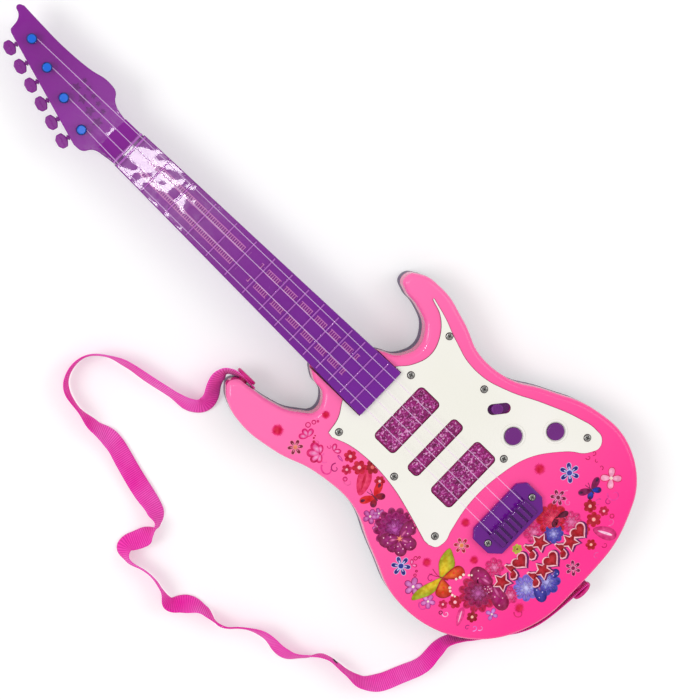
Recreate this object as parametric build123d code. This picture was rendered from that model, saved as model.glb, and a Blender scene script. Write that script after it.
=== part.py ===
from build123d import *
import math
import os

# Toy electric guitar. All sizes are in millimetres.
# The origin lies on the flat back, on the centreline, under the bridge.
# +X is to the right seen from the front, +Y runs to the headstock, +Z out of the front.

# ---- body ----
BODY_DEPTH = 38.0
SPLIT_Z = 19.0          # parting plane between the two half shells
WALL = 2.6
FACE_T = 3.0            # thickness of the printed front
EDGE_R = 5.0            # rounding of the outer edges

BODY_OUTLINE = [
    (0, -91.5), (-48, -87), (-88, -64.5), (-112.5, -25), (-116.6, 20), (-101, 63), (-84, 104),
    (-85.5, 146), (-96.8, 186), (-99.8, 219), (-96, 238), (-88.8, 249.4), (-81.2, 254),
    (-74.8, 250.4), (-72.3, 239), (-69.8, 221), (-61, 196.5), (-45.5, 182.8), (-34, 189),
    (-29.3, 205), (-21, 214), (0, 201), (24, 182), (36, 164), (52, 158), (67, 165.5),
    (75.6, 184), (77.4, 198.5), (82.2, 207), (89.6, 207.4), (97, 199), (100.8, 176),
    (94, 145), (83.2, 114), (85.8, 83), (102.5, 50), (118.6, 12), (120.6, -29),
    (103, -62), (64.5, -84),
]

# ---- pickguard ----
GUARD_T = 2.0
GUARD_SUNK = 1.0
GUARD_GAP = 0.35
NECK_NOTCH = 25.6       # half width of the opening that the neck's heel passes through
GUARD_RUNS = [
    [(-25.9, 173.8), (-40, 165.6), (-53.6, 163.2)],
    [(-54.4, 158.6), (-49, 143), (-46.6, 122), (-49, 90), (-56, 62), (-63.4, 38)],
    [(-63.4, 32.5), (-60.5, 26.6), (-53.5, 24.4), (-40, 27.6), (-20, 31.6), (20, 30.6),
     (48, 23.2), (76, 2.4), (90, -13.5), (98.5, -16.8), (106, -12), (107.3, -3), (103, 17),
     (92, 45.5), (78, 76), (71.5, 98), (71.2, 118), (77, 139), (85, 161), (89.6, 178.5)],
    [(88.4, 178), (83.5, 164.5), (72, 152.6), (54, 146.4), (36, 152.4), (25.9, 161)],
]

# ---- neck ----
NECK_START_Y = 154.5
NECK_HALF_START = 25.0
NUT_Y = 447.0
NECK_HALF_NUT = 17.4
NECK_BACK_Z = 21.0
NECK_SPLIT_Z = 33.0
NECK_TOP_Z = 43.0
NECK_WALL = 2.0
NECK_BACK_R = 7.0
SCALE_LENGTH = 500.0
SCALE_ZERO_Y = 445.5
FRET_COUNT = 14
FRET_W = 1.7
FRET_H = 0.9
NUT_BAR_W = 2.0
NUT_H = 1.9

# ---- headstock ----
HEAD_BACK_Z = 27.0
HEAD_TOP_Z = 39.5
HEAD_RIGHT = [(16.2, 455), (15.8, 469), (19.5, 481.5), (27.2, 489.5), (28.2, 496), (24.8, 517),
              (23, 545), (23.8, 572), (24.6, 588.5)]
HEAD_TIP = [(24.6, 588.5), (22.6, 592), (13, 584.6), (3.4, 583.2)]
HEAD_EDGE_LOW = (-28.6, 482.4)
HEAD_EDGE_HIGH = (1.6, 581.2)
HEAD_LEFT = [(-28.6, 482.4), (-27.8, 475.2), (-20.4, 468), (-17.4, 455)]

# ---- strings and their posts ----
STRING_R = 0.4
STRING_NUT_X = [-14.3, -4.8, 4.8, 14.3]
STRING_BRIDGE_X = [-18.9, -6.3, 6.3, 18.9]
STRING_NUT_Z = 45.35
STRING_BRIDGE_Z = 44.2
POSTS = [(-15.5, 486.5), (-6.8, 514.5), (1.4, 541.0), (9.5, 565.5)]
POST_CAP_R = 4.4
POST_WAIST_R = 2.5
POST_STEM_R = 2.0

# ---- tuning keys ----
KEY_COUNT = 6
KEY_PITCH = 17.15
KEY_FIRST_ALONG = 7.4   # distance of the first key from the lower end of the straight edge
KEY_SHAFT_R = 1.5
KEY_CLEAR = 0.06
KEY_WING = (4.6, 6.2)   # half width and half length of the oval wing
KEY_WING_T = 3.6
KEY_WING_OUT = 7.0

# ---- front openings and controls ----
LENS_HALF_W = 29.4
LENSES = {"neck": (110.0, 133.8), "middle": (81.3, 94.0), "bridge": (41.6, 65.6)}
LENS_R = 4.0
LENS_TOP_Z = 38.4
LENS_GAP = 0.3
LENS_FLANGE = 2.6
BUTTONS = {"melody": (53.5, 45.5), "demo": (81.8, 21.4)}
BUTTON_R = 7.6
BUTTON_GAP = 0.3
BUTTON_TOP_Z = 41.2
RING_IN_R = 8.6
RING_OUT_R = 10.6
RING_H = 0.8
SWITCH_AT = (61.7, 71.0)
SWITCH_TURN = -40.0
SWITCH_SLOT = (20.4, 9.4)
SWITCH_KNOB = (10.6, 8.6)
SWITCH_REST = -1.7      # the knob's place along the slot when off

# ---- screws ----
GUARD_SCREWS = [(-47.3, 157.2), (29.6, 146.6), (76, 146), (-42, 96), (64.7, 92.3),
                (34, 37.5), (-54.5, 34), (97.2, -3)]
BRIDGE_SCREWS = [(-27.3, -3.2), (27.3, -3.2)]
CASE_SCREWS = [(-68, -58), (62, -66), (103, -20), (98, 35), (-104, -2), (-88, 70),
               (-72, 128), (72, 122), (-84, 222), (88, 186)]
SCREW_R = 1.25
PILOT_R = 1.32
SCREW_HEAD_R = 3.1
BOSS_R = 3.4

# ---- bridge ----
BRIDGE_OUTLINE = [(-26.6, 14.6), (26.6, 14.6), (33.6, 8.4), (33.6, -9.8), (25.4, -19.2),
                  (-25.4, -19.2), (-33.6, -9.8), (-33.6, 8.4)]
BRIDGE_TOP_Z = 42.4
BRIDGE_DIP_Z = 39.6
BRIDGE_DIP_Y = (1.0, 12.8)
BRIDGE_DIP_HALF = 21.4
RIB_TOP_Z = 45.2
RIB_BACK_Y = -15.4
RIB_COUNT = 7
RIB_PITCH = 6.3

# ---- electronics and power ----
BOARD_Z = 22.0
BOARD_T = 1.6
BOARD_OUTLINE = [(42, 8), (92, 8), (92, 28), (74, 82), (42, 82)]
BOARD_POSTS = [(46, 12), (87, 12), (46, 77)]
SPEAKER_AT = (-62.0, 25.0)
SPEAKER_R = 20.0
BAY_HALF_X = 29.0
REAR_T = 2.4
TUB_W = 3.8
BAY_Y = (-62.0, -15.5)
BAY_ROOF_Z = 17.8
DOOR_T = 2.0
DOOR_LEDGE = 2.2
DOOR_GAP = 0.3
HINGE_RELIEF = 0.25      # extra room over the door's turning edge
CELL_R = 7.2
CELL_LEN = 49.0
CELL_Z = 10.0
DOOR_EAR_Y = -68.2
DOOR_SCREW_HOLE_R = 1.9

# ---- strap ----
STRAP_W = 17.5
STRAP_T = 1.4
PEG_Z = 19.0
PEG_SHAFT_R = 4.0
PEG_DISC_R = 9.6
PEG_DISC_T = 3.0
HORN_PEG_Y = 244.0
HORN_PEG_X = (-76.0, -69.3)
TAIL_PEG_Y = (-88.0, -99.6)
TAIL_HOLE_Y = -98.1
FLOOR_Z = 8.85          # height of the strap's centreline where it stands on the floor
# Centreline seen from above, from the horn peg round the horn's tip, over the floor, and along
# the lower edge to the tail peg. The strap stands on edge: it is at peg height on the first
# and last runs and stands on the floor between its two ramps.
STRAP_ROUTE = [
    (-70.4, 233), (-70.4, 258.2), (-87, 258.6), (-106, 247.5), (-119, 256.5), (-122.5, 279),
    (-127, 301), (-130, 323.5), (-137, 341.5), (-149, 354.5), (-166.5, 355.5), (-181.5, 347),
    (-186.5, 327), (-188, 306), (-185, 286.5), (-192.5, 264), (-199.5, 240), (-203.5, 218.5),
    (-212, 206), (-228.5, 209), (-244.5, 218.5), (-253, 206), (-246.5, 188), (-249, 169),
    (-257.5, 153), (-244, 143.5), (-236.5, 127.5), (-240.5, 106), (-225.5, 92.5), (-216.5, 73),
    (-220.5, 50), (-209, 35), (-194.5, 23.5), (-194, 1), (-192.5, -18), (-181, -31), (-162, -39),
    (-144, -48), (-127, -46), (-112, -46.5), (-100, -58.5), (-82, -73.5), (-56, -90.5),
    (-23.5, -96.6), (8.5, -98.6),
]
RAMP_RUNS = (2, 41)     # the runs, counted from 0, on which the strap comes down and goes up
RIVET_RUN = 32          # the run that carries the rivet

# ---- inside the neck ----
PIPE_W = 5.0
PIPE_Z = (37.6, 40.8)
PIPE_SPANS = [(190.0, 304.0), (317.0, 429.0)]
PIPE_X = (8.6, 6.0)     # distance from the centreline at the heel end and at the nut end
PIPE_RIB_PITCH = 2.1
NECK_SCREW_Y = [215, 262, 360, 412]
HEAD_SCREWS = [(14, 512), (14, 552)]
HEEL_SCREWS = [(-12, 164), (12, 164), (-12, 180), (12, 180)]
HEAD_HOLLOW = [(-15.2, 458), (-18.2, 469.5), (-25.2, 478.4), (-26.3, 483.9), (2.9, 579.4),
               (21.2, 579.4), (20.8, 545), (22.6, 516), (26, 497), (25, 491.5), (17.5, 482.5),
               (13.8, 470), (14.2, 458)]
LEAD_X = 17.0
LEAD_Z = 26.0
LEAD_R = 0.6
LED_BOARD_Y = 310.5
LED_BOARD_Z = 33.5      # lower edge of the neck's light board

# ---- raised ornament on the headstock ----
ORNAMENT_H = 0.7
STARS = [(-2.0, 481.5, 4.6), (0.6, 492.3, 4.6), (3.4, 503.0, 4.6), (6.6, 513.4, 4.2),
         (7.6, 484.5, 2.4), (9.4, 491.5, 2.4), (11.2, 498.5, 2.4), (13.2, 505.5, 2.4), (15.2, 512.3, 2.4)]


def cyl(x, y, z0, z1, r):
    return Pos(x, y, z0) * Cylinder(r, z1 - z0, align=(Align.CENTER, Align.CENTER, Align.MIN))


def block(x0, x1, y0, y1, z0, z1):
    size = Box(x1 - x0, y1 - y0, z1 - z0, align=(Align.MIN, Align.MIN, Align.MIN))
    return Pos(x0, y0, z0) * size


def slab(face, z0, z1):
    return extrude(Pos(0, 0, z0) * face, z1 - z0)


def rounded_window(y0, y1, half_w, radius, grow, z0, z1):
    """A rounded rectangular prism across the centreline, grown by the given gap."""
    shape = RectangleRounded(2 * (half_w + grow), y1 - y0 + 2 * grow, radius + grow)
    return slab(Pos(0, (y0 + y1) / 2) * shape, z0, z1)


def screw(x, y, head_z, length, head_r=SCREW_HEAD_R, shaft_r=SCREW_R, up=True):
    """A domed cross-head screw; head_z is the seat plane under its head."""
    head = cyl(0, 0, 0, 1.7, head_r)
    head = fillet(head.edges().group_by(Axis.Z)[-1], 1.1)
    cross = Box(0.9, 0.62 * 2 * head_r, 0.9) + Box(0.62 * 2 * head_r, 0.9, 0.9)
    head -= Pos(0, 0, 1.6) * cross
    solid = head + cyl(0, 0, -length, 0, shaft_r)
    turn = Rotation(0, 0, 20) if up else Rotation(180, 0, 20)
    return Pos(x, y, head_z) * turn * solid


# ================= body shells =================
def pushed(points, gap):
    """The points of a closed outline, each moved outward by the gap."""
    count = len(points)
    area = sum(points[i - 1][0] * points[i][1] - points[i][0] * points[i - 1][1]
               for i in range(count))
    side = gap if area > 0 else -gap
    moved = []
    for i, (x, y) in enumerate(points):
        before = points[i - 1]
        after = points[(i + 1) % count]
        dx = after[0] - before[0]
        dy = after[1] - before[1]
        length = math.hypot(dx, dy)
        moved.append((x + side * dy / length, y - side * dx / length))
    return moved


def tangents(points, closed):
    """Unit directions at each point, each along the circle through it and its neighbours."""
    count = len(points)
    result = []
    for i in range(count):
        here = Vector(*points[i])
        back = here - Vector(*points[i - 1])
        ahead = Vector(*points[(i + 1) % count]) - here
        if not closed and i == 0:
            back = ahead
        if not closed and i == count - 1:
            ahead = back
        mixed = back.normalized() * ahead.length + ahead.normalized() * back.length
        result.append(mixed.normalized())
    return result


def arc_run(points, closed=False):
    """A smooth chain of circular arcs through the points, two arcs to each step."""
    heading = tangents(points, closed)
    count = len(points)
    edges = []
    for i in range(count if closed else count - 1):
        start = Vector(*points[i])
        end = Vector(*points[(i + 1) % count])
        t0 = heading[i]
        t1 = heading[(i + 1) % count]
        step = end - start
        along = step.dot(t0 + t1)
        spread = 2 * (1 - t0.dot(t1))
        if spread < 1e-6:
            reach = step.dot(step) / (2 * along)
        else:
            reach = (math.sqrt(along ** 2 + spread * step.dot(step)) - along) / spread
        middle = (start + end + (t0 - t1) * reach) * 0.5
        first = arc_or_line(start, middle, t0)
        edges.append(first)
        edges.append(arc_or_line(middle, end, first % 1))
    return edges


def arc_or_line(start, end, tangent):
    chord = (end - start).normalized()
    if abs(chord.X * tangent.Y - chord.Y * tangent.X) < 1e-5:
        return Line(start, end)
    return TangentArc(start, end, tangent=tangent)


def body_face(inset=0.0):
    return make_face(arc_run(pushed(BODY_OUTLINE, -inset), closed=True))


def guard_face(grow=0.0):
    """The pickguard's plan: four smooth runs and a square notch for the neck."""
    points = pushed([p for run in GUARD_RUNS for p in run], grow)
    edges = []
    start = 0
    for run in GUARD_RUNS:
        part = points[start:start + len(run)]
        if edges:
            edges.append(Line(edges[-1] @ 1, part[0]))
        edges += arc_run(part)
        start += len(run)
    side = NECK_NOTCH - grow
    foot = NECK_START_Y - GUARD_GAP
    notch = [(side, points[-1][1]), (side, foot), (-side, foot), (-side, points[0][1])]
    edges.append(Polyline(points[-1], *notch, points[0]))
    return make_face(edges)


def stadium(length, width, turn, at, along=0.0):
    """A slot outline of the given overall length, turned about its own centre."""
    slot = SlotOverall(length, width)
    return Pos(at[0], at[1]) * Rotation(0, 0, turn) * Pos(along, 0) * slot


def neck_face(shrink=0.0, y_end=NUT_Y):
    """The tapered plan of the neck, from its heel to y_end."""
    slope = (NECK_HALF_START - NECK_HALF_NUT) / (NUT_Y - NECK_START_Y)
    half_end = NECK_HALF_START - slope * (y_end - NECK_START_Y)
    y0 = NECK_START_Y + shrink
    y1 = y_end - shrink
    a = NECK_HALF_START - shrink
    b = half_end - shrink
    return make_face(Polyline((-a, y0), (a, y0), (b, y1), (-b, y1), close=True))


def body_block():
    return slab(body_face(), 0, BODY_DEPTH)


def neck_pocket_cut(z0):
    return block(-25.3, 25.3, NECK_START_Y - 0.3, 240, z0, 60)


def front_shell():
    outer = slab(body_face(), SPLIT_Z, BODY_DEPTH)
    outer = fillet(outer.faces().sort_by(Axis.Z)[-1].edges(), EDGE_R)
    face_z = BODY_DEPTH - FACE_T
    shell = outer - slab(body_face(WALL), SPLIT_Z, face_z)
    pocket = block(-27.6, 27.6, NECK_START_Y - 2.6, 240, SPLIT_Z, BODY_DEPTH - 1.5) & outer
    adds = []
    cuts = [slab(guard_face(GUARD_GAP), BODY_DEPTH - GUARD_SUNK, BODY_DEPTH + 2)]
    for x, y in GUARD_SCREWS + BRIDGE_SCREWS:
        adds.append(cyl(x, y, 27.5, face_z + 0.5, BOSS_R))
        cuts.append(cyl(x, y, 27, BODY_DEPTH + 1, PILOT_R))
    for x, y in CASE_SCREWS:
        adds.append(cyl(x, y, SPLIT_Z, face_z + 0.5, BOSS_R))
        cuts.append(cyl(x, y, SPLIT_Z - 1, face_z - 2, PILOT_R))
    for y0, y1 in LENSES.values():
        cuts.append(rounded_window(y0, y1, LENS_HALF_W, LENS_R, LENS_GAP, 30, 45))
    for x, y in BUTTONS.values():
        cuts.append(cyl(x, y, 30, 45, BUTTON_R + BUTTON_GAP))
    cuts.append(slab(stadium(*SWITCH_SLOT, SWITCH_TURN, SWITCH_AT), 30, 45))
    cuts.append(Pos(LEAD_X, NECK_START_Y - 1.5, LEAD_Z) * Rotation(90, 0, 0) * Cylinder(1.6, 8))
    for x, y in HEEL_SCREWS:
        cuts.append(cyl(x, y, SPLIT_Z - 1, NECK_BACK_Z + 1, 1.6))
    return shell + pocket - neck_pocket_cut(NECK_BACK_Z) + adds - cuts


def rear_shell():
    outer = slab(body_face(), 0, SPLIT_Z)
    outer = fillet(outer.faces().sort_by(Axis.Z)[0].edges(), EDGE_R)
    shell = outer - slab(body_face(WALL), REAR_T, SPLIT_Z)
    y0, y1 = BAY_Y
    half = BAY_HALF_X
    adds = [block(-half - TUB_W, half + TUB_W, y0 - TUB_W, y1 + TUB_W, 0, BAY_ROOF_Z + 1.1)]
    adds.append(cyl(0, DOOR_EAR_Y, 0, 12, 6.9))
    cuts = [block(-half, half, y0, y1, -1, BAY_ROOF_Z)]
    cuts.append(door_plan(0.0, -1, DOOR_T))
    turn_half = half + DOOR_LEDGE
    cuts.append(block(-turn_half, turn_half, y1 - 0.5, y1 + DOOR_LEDGE, 0.5, DOOR_T + HINGE_RELIEF))
    cuts.append(cyl(0, DOOR_EAR_Y, -1, 10.5, DOOR_SCREW_HOLE_R))
    for x in (-18, 18):
        cuts.append(block(x - 4.4, x + 4.4, y1 - 0.1, y1 + DOOR_LEDGE + 2.4, 0.9, 5))
    for x, y in CASE_SCREWS:
        adds.append(cyl(x, y, 1, SPLIT_Z, 4.8))
        cuts.append(cyl(x, y, -1, 9, 3.5))
        cuts.append(cyl(x, y, 0, 20, 1.5))
    for x, y in BOARD_POSTS:
        adds.append(cyl(x, y, 1, BOARD_Z, 2.6))
        cuts.append(cyl(x, y, 10, BOARD_Z + 1, 0.95))
    for angle in (90, 210, 330):
        x, y = speaker_lug(angle)
        adds.append(cyl(x, y, 1, 5.0, 2.4))
        cuts.append(cyl(x, y, 2.4, 6, 0.95))
    cuts += grille_holes()
    return shell + adds - cuts


def grille_holes():
    """Sound holes on a triangular grid behind the loudspeaker."""
    holes = []
    pitch = 4.6
    for row in range(-3, 4):
        y = row * pitch * math.sqrt(3) / 2
        for col in range(-4, 5):
            x = (col + (row % 2) / 2) * pitch
            if math.hypot(x, y) < 14.2:
                holes.append(cyl(SPEAKER_AT[0] + x, SPEAKER_AT[1] + y, -1, REAR_T + 1, 1.35))
    return holes


def pickguard():
    plate = slab(guard_face(), BODY_DEPTH - GUARD_SUNK, BODY_DEPTH - GUARD_SUNK + GUARD_T)
    top = BODY_DEPTH - GUARD_SUNK + GUARD_T
    cuts = []
    for x, y in BUTTONS.values():
        ring = cyl(x, y, top, top + RING_H, RING_OUT_R) - cyl(x, y, top - 1, top + 2, RING_IN_R)
        plate += fillet(ring.edges().group_by(Axis.Z)[-1], 0.35)
        cuts.append(cyl(x, y, 30, 45, BUTTON_R + BUTTON_GAP))
    for y0, y1 in LENSES.values():
        cuts.append(rounded_window(y0, y1, LENS_HALF_W, LENS_R, LENS_GAP, 30, 45))
    cuts.append(slab(stadium(*SWITCH_SLOT, SWITCH_TURN, SWITCH_AT), 30, 45))
    for x, y in GUARD_SCREWS:
        cuts.append(cyl(x, y, 30, 45, 1.5))
        cuts.append(cyl(x, y, top - 0.7, 45, SCREW_HEAD_R + 0.35))
    return plate - cuts


def guard_screws():
    seat = BODY_DEPTH - GUARD_SUNK + GUARD_T - 0.7
    return Part() + [screw(x, y, seat, 9.0) for x, y in GUARD_SCREWS]


def case_screws():
    return Part() + [screw(x, y, 9.0, 18.0, up=False) for x, y in CASE_SCREWS]


# ================= controls and windows on the front =================
def lens(y0, y1):
    """Clear magenta window with a flange behind the front and two posts for its light board."""
    face_z = BODY_DEPTH - FACE_T
    boss = rounded_window(y0, y1, LENS_HALF_W, LENS_R, 0.0, face_z - 0.1, LENS_TOP_Z)
    boss = fillet(boss.edges().group_by(Axis.Z)[-1], 0.6)
    flange = rounded_window(y0, y1, LENS_HALF_W, LENS_R, LENS_FLANGE, face_z - 1.6, face_z)
    middle = (y0 + y1) / 2
    posts = [cyl(x, middle, 29.2, face_z - 1.5, 1.8) for x in (-23, 23)]
    return boss + flange + posts


def light_boards():
    boards = []
    for y0, y1 in LENSES.values():
        middle = (y0 + y1) / 2
        boards.append(block(-26, 26, middle - 4.5, middle + 4.5, 28, 29.2))
    return Part() + boards


def light_leds():
    leds = []
    for y0, y1 in LENSES.values():
        for x in (-13, 0, 13):
            dome = cyl(x, (y0 + y1) / 2, 29.2, 32.4, 1.5)
            leds.append(fillet(dome.edges().group_by(Axis.Z)[-1], 1.3))
    return Part() + leds


def button(x, y):
    """Domed push button with a flange that keeps it behind the front."""
    cap = cyl(x, y, 33.0, BUTTON_TOP_Z, BUTTON_R)
    cap = fillet(cap.edges().group_by(Axis.Z)[-1], 1.0)
    flange = cyl(x, y, 33.2, 34.8, BUTTON_R + 1.6)
    stem = cyl(x, y, 30.4, 33.5, 2.4)
    return cap + flange + stem


def tact_switches():
    top = BOARD_Z + BOARD_T
    parts = []
    for x, y in BUTTONS.values():
        parts.append(block(x - 3, x + 3, y - 3, y + 3, top, top + 3.5) + cyl(x, y, top + 3, top + 5.3, 1.7))
    return Part() + parts


def switch_slider():
    """Oval thumb piece on a broad base plate that always closes the slot."""
    base = slab(stadium(SWITCH_SLOT[0] + 8.4, 12.6, SWITCH_TURN, SWITCH_AT, SWITCH_REST), 33.6, 34.8)
    knob = slab(stadium(*SWITCH_KNOB, SWITCH_TURN, SWITCH_AT, SWITCH_REST), 34.7, 40.6)
    knob = fillet(knob.edges().group_by(Axis.Z)[-1], 1.2)
    place = Pos(*SWITCH_AT) * Rotation(0, 0, SWITCH_TURN) * Pos(SWITCH_REST, 0)
    prongs = [place * block(x, x + 1.2, -1.5, 1.5, 29.9, 33.7) for x in (-2.5, 1.3)]
    grips = [place * block(x - 0.35, x + 0.35, -2.6, 2.6, 40.3, 41.0) for x in (-2.4, 0, 2.4)]
    return base + knob + prongs + grips


def switch_actuator():
    place = Pos(*SWITCH_AT) * Rotation(0, 0, SWITCH_TURN) * Pos(SWITCH_REST, 0)
    return place * (block(-1.1, 1.1, -1.1, 1.1, 29.2, 32.4) + block(-1.8, 1.8, -1.6, 1.6, 28.75, 29.3))


def switch_body():
    top = BOARD_Z + BOARD_T
    place = Pos(*SWITCH_AT) * Rotation(0, 0, SWITCH_TURN)
    return place * block(-7, 7, -3, 3, top, 28.6)


# ================= bridge =================
def bridge():
    plate = make_face(Polyline(*BRIDGE_OUTLINE, close=True))
    body = slab(plate, BODY_DEPTH, BRIDGE_TOP_Z)
    body = fillet(body.edges().filter_by(Axis.Z), 2.0)
    body = fillet(body.edges().group_by(Axis.Z)[-1], 1.3)
    y0, y1 = BRIDGE_DIP_Y
    dip = make_face(Polyline((y0, 50), (y0, BRIDGE_DIP_Z), (y1, BRIDGE_TOP_Z - 0.6), (y1, 50),
                             close=True))
    half = BRIDGE_DIP_HALF
    body -= Plane(origin=(-half, 0, 0), x_dir=(0, 1, 0), z_dir=(1, 0, 0)) * extrude(dip, 2 * half)
    body -= block(-half, half, RIB_BACK_Y - 0.2, y0 + 0.1, 41.0, 50)
    for i in range(RIB_COUNT):
        x = (i - (RIB_COUNT - 1) / 2) * RIB_PITCH
        wide = 2.4 if i % 2 == 0 else 1.8
        rib = block(x - wide, x + wide, RIB_BACK_Y, y0, BRIDGE_DIP_Z - 0.5, RIB_TOP_Z)
        ends = rib.edges().group_by(Axis.Z)[-1].filter_by(Axis.X)
        rib = fillet(ends, 2.2)
        rib = fillet(rib.edges().group_by(Axis.Z)[-1].filter_by(Axis.Y), 0.7)
        body += rib
    for x, y in BRIDGE_SCREWS:
        body -= cyl(x, y, 30, 50, 1.5)
        body -= cyl(x, y, BRIDGE_TOP_Z - 0.8, 50, SCREW_HEAD_R + 0.35)
    return body


def bridge_screws():
    return Part() + [screw(x, y, BRIDGE_TOP_Z - 0.8, 12.0) for x, y in BRIDGE_SCREWS]


# ================= neck and headstock =================
def head_face():
    edges = arc_run(HEAD_RIGHT) + arc_run(HEAD_TIP)
    edges.append(Line(HEAD_TIP[-1], HEAD_EDGE_HIGH))
    edges.append(Line(HEAD_EDGE_HIGH, HEAD_EDGE_LOW))
    edges += arc_run(HEAD_LEFT)
    edges.append(Polyline(HEAD_LEFT[-1], (-16.4, NUT_Y - 2), (16.4, NUT_Y - 2), HEAD_RIGHT[0]))
    return make_face(edges)


def neck_half_width(y):
    share = (y - NECK_START_Y) / (NUT_Y - NECK_START_Y)
    return NECK_HALF_START + share * (NECK_HALF_NUT - NECK_HALF_START)


def side_wedge(points, half):
    """A solid across the neck from a side outline given as (y, z) points."""
    side = make_face(Polyline(*points, close=True))
    return Plane(origin=(-half, 0, 0), x_dir=(0, 1, 0), z_dir=(1, 0, 0)) * extrude(side, 2 * half)


def key_axis():
    """Direction along the headstock's straight edge, and straight out of it."""
    dx = HEAD_EDGE_HIGH[0] - HEAD_EDGE_LOW[0]
    dy = HEAD_EDGE_HIGH[1] - HEAD_EDGE_LOW[1]
    length = math.hypot(dx, dy)
    along = (dx / length, dy / length)
    return along, (-along[1], along[0])


def key_place(i):
    along, out = key_axis()
    far = KEY_FIRST_ALONG + i * KEY_PITCH
    point = (HEAD_EDGE_LOW[0] + far * along[0], HEAD_EDGE_LOW[1] + far * along[1], NECK_SPLIT_Z)
    return Plane(origin=point, x_dir=(out[0], out[1], 0), z_dir=(0, 0, 1))


def key_bores():
    turned = Rotation(0, 90, 0) * Cylinder(KEY_SHAFT_R + KEY_CLEAR, 12)
    return [key_place(i) * turned for i in range(KEY_COUNT)]


def star(x, y, radius):
    points = []
    for i in range(10):
        reach = radius if i % 2 == 0 else 0.45 * radius
        angle = math.radians(90 + 36 * i)
        points.append((x + reach * math.cos(angle), y + reach * math.sin(angle)))
    return make_face(Polyline(*points, close=True))


def neck_front():
    """Fretboard and headstock face in one translucent moulding, open at the back."""
    board = slab(neck_face(), NECK_SPLIT_Z, NECK_TOP_Z)
    corners = board.edges().filter_by(Axis.Z).group_by(Axis.Y)[0]
    board = fillet(corners, 2.0)
    board = fillet(board.edges().group_by(Axis.Z)[-1], 0.9)
    board -= slab(neck_face(NECK_WALL), NECK_SPLIT_Z, NECK_TOP_Z - 2)
    head = slab(head_face(), NECK_SPLIT_Z, HEAD_TOP_Z)
    head = fillet(head.faces().sort_by(Axis.Z)[-1].edges(), 0.7)
    hollow = make_face(Polyline(*HEAD_HOLLOW, close=True))
    slope = side_wedge([(NUT_Y - 1, HEAD_TOP_Z - 1), (NUT_Y - 1, NECK_TOP_Z), (451, NECK_TOP_Z),
                        (467, HEAD_TOP_Z), (467, HEAD_TOP_Z - 1)], 16.1)
    whole = board + head + slope - slab(hollow, NECK_SPLIT_Z, HEAD_TOP_Z - 2)
    adds = []
    cuts = key_bores()
    for n in range(1, FRET_COUNT + 1):
        y = SCALE_ZERO_Y - SCALE_LENGTH * (1 - 2 ** (-n / 12))
        half = neck_half_width(y) - 1.5
        bar = block(-half, half, y - FRET_W / 2, y + FRET_W / 2, NECK_TOP_Z - 0.2, NECK_TOP_Z + FRET_H)
        adds.append(fillet(bar.edges().group_by(Axis.Z)[-1].filter_by(Axis.X), 0.6))
    for y in (NUT_Y - 1.6, NUT_Y + 2.4):
        bar = block(-16.6, 16.6, y - NUT_BAR_W / 2, y + NUT_BAR_W / 2, NECK_TOP_Z - 0.2, NECK_TOP_Z + NUT_H)
        adds.append(fillet(bar.edges().group_by(Axis.Z)[-1].filter_by(Axis.X), 0.7))
    for y in NECK_SCREW_Y:
        adds.append(cyl(0, y, NECK_SPLIT_Z, NECK_TOP_Z - 1, 2.9))
        cuts.append(cyl(0, y, NECK_SPLIT_Z - 1, NECK_TOP_Z - 3.4, 1.15))
    for x, y in HEAD_SCREWS:
        adds.append(cyl(x, y, NECK_SPLIT_Z, HEAD_TOP_Z - 1, 2.9))
        cuts.append(cyl(x, y, NECK_SPLIT_Z - 1, HEAD_TOP_Z - 1.6, 1.15))
    for x, y in POSTS:
        adds.append(cyl(x, y, NECK_SPLIT_Z, HEAD_TOP_Z - 1, 3.6))
        cuts.append(cyl(x, y, NECK_SPLIT_Z - 1, HEAD_TOP_Z + 1, POST_STEM_R + 0.02))
    for x, y, radius in STARS:
        adds.append(slab(star(x, y, radius), HEAD_TOP_Z - 0.2, HEAD_TOP_Z + ORNAMENT_H))
    return whole + adds - cuts


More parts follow.
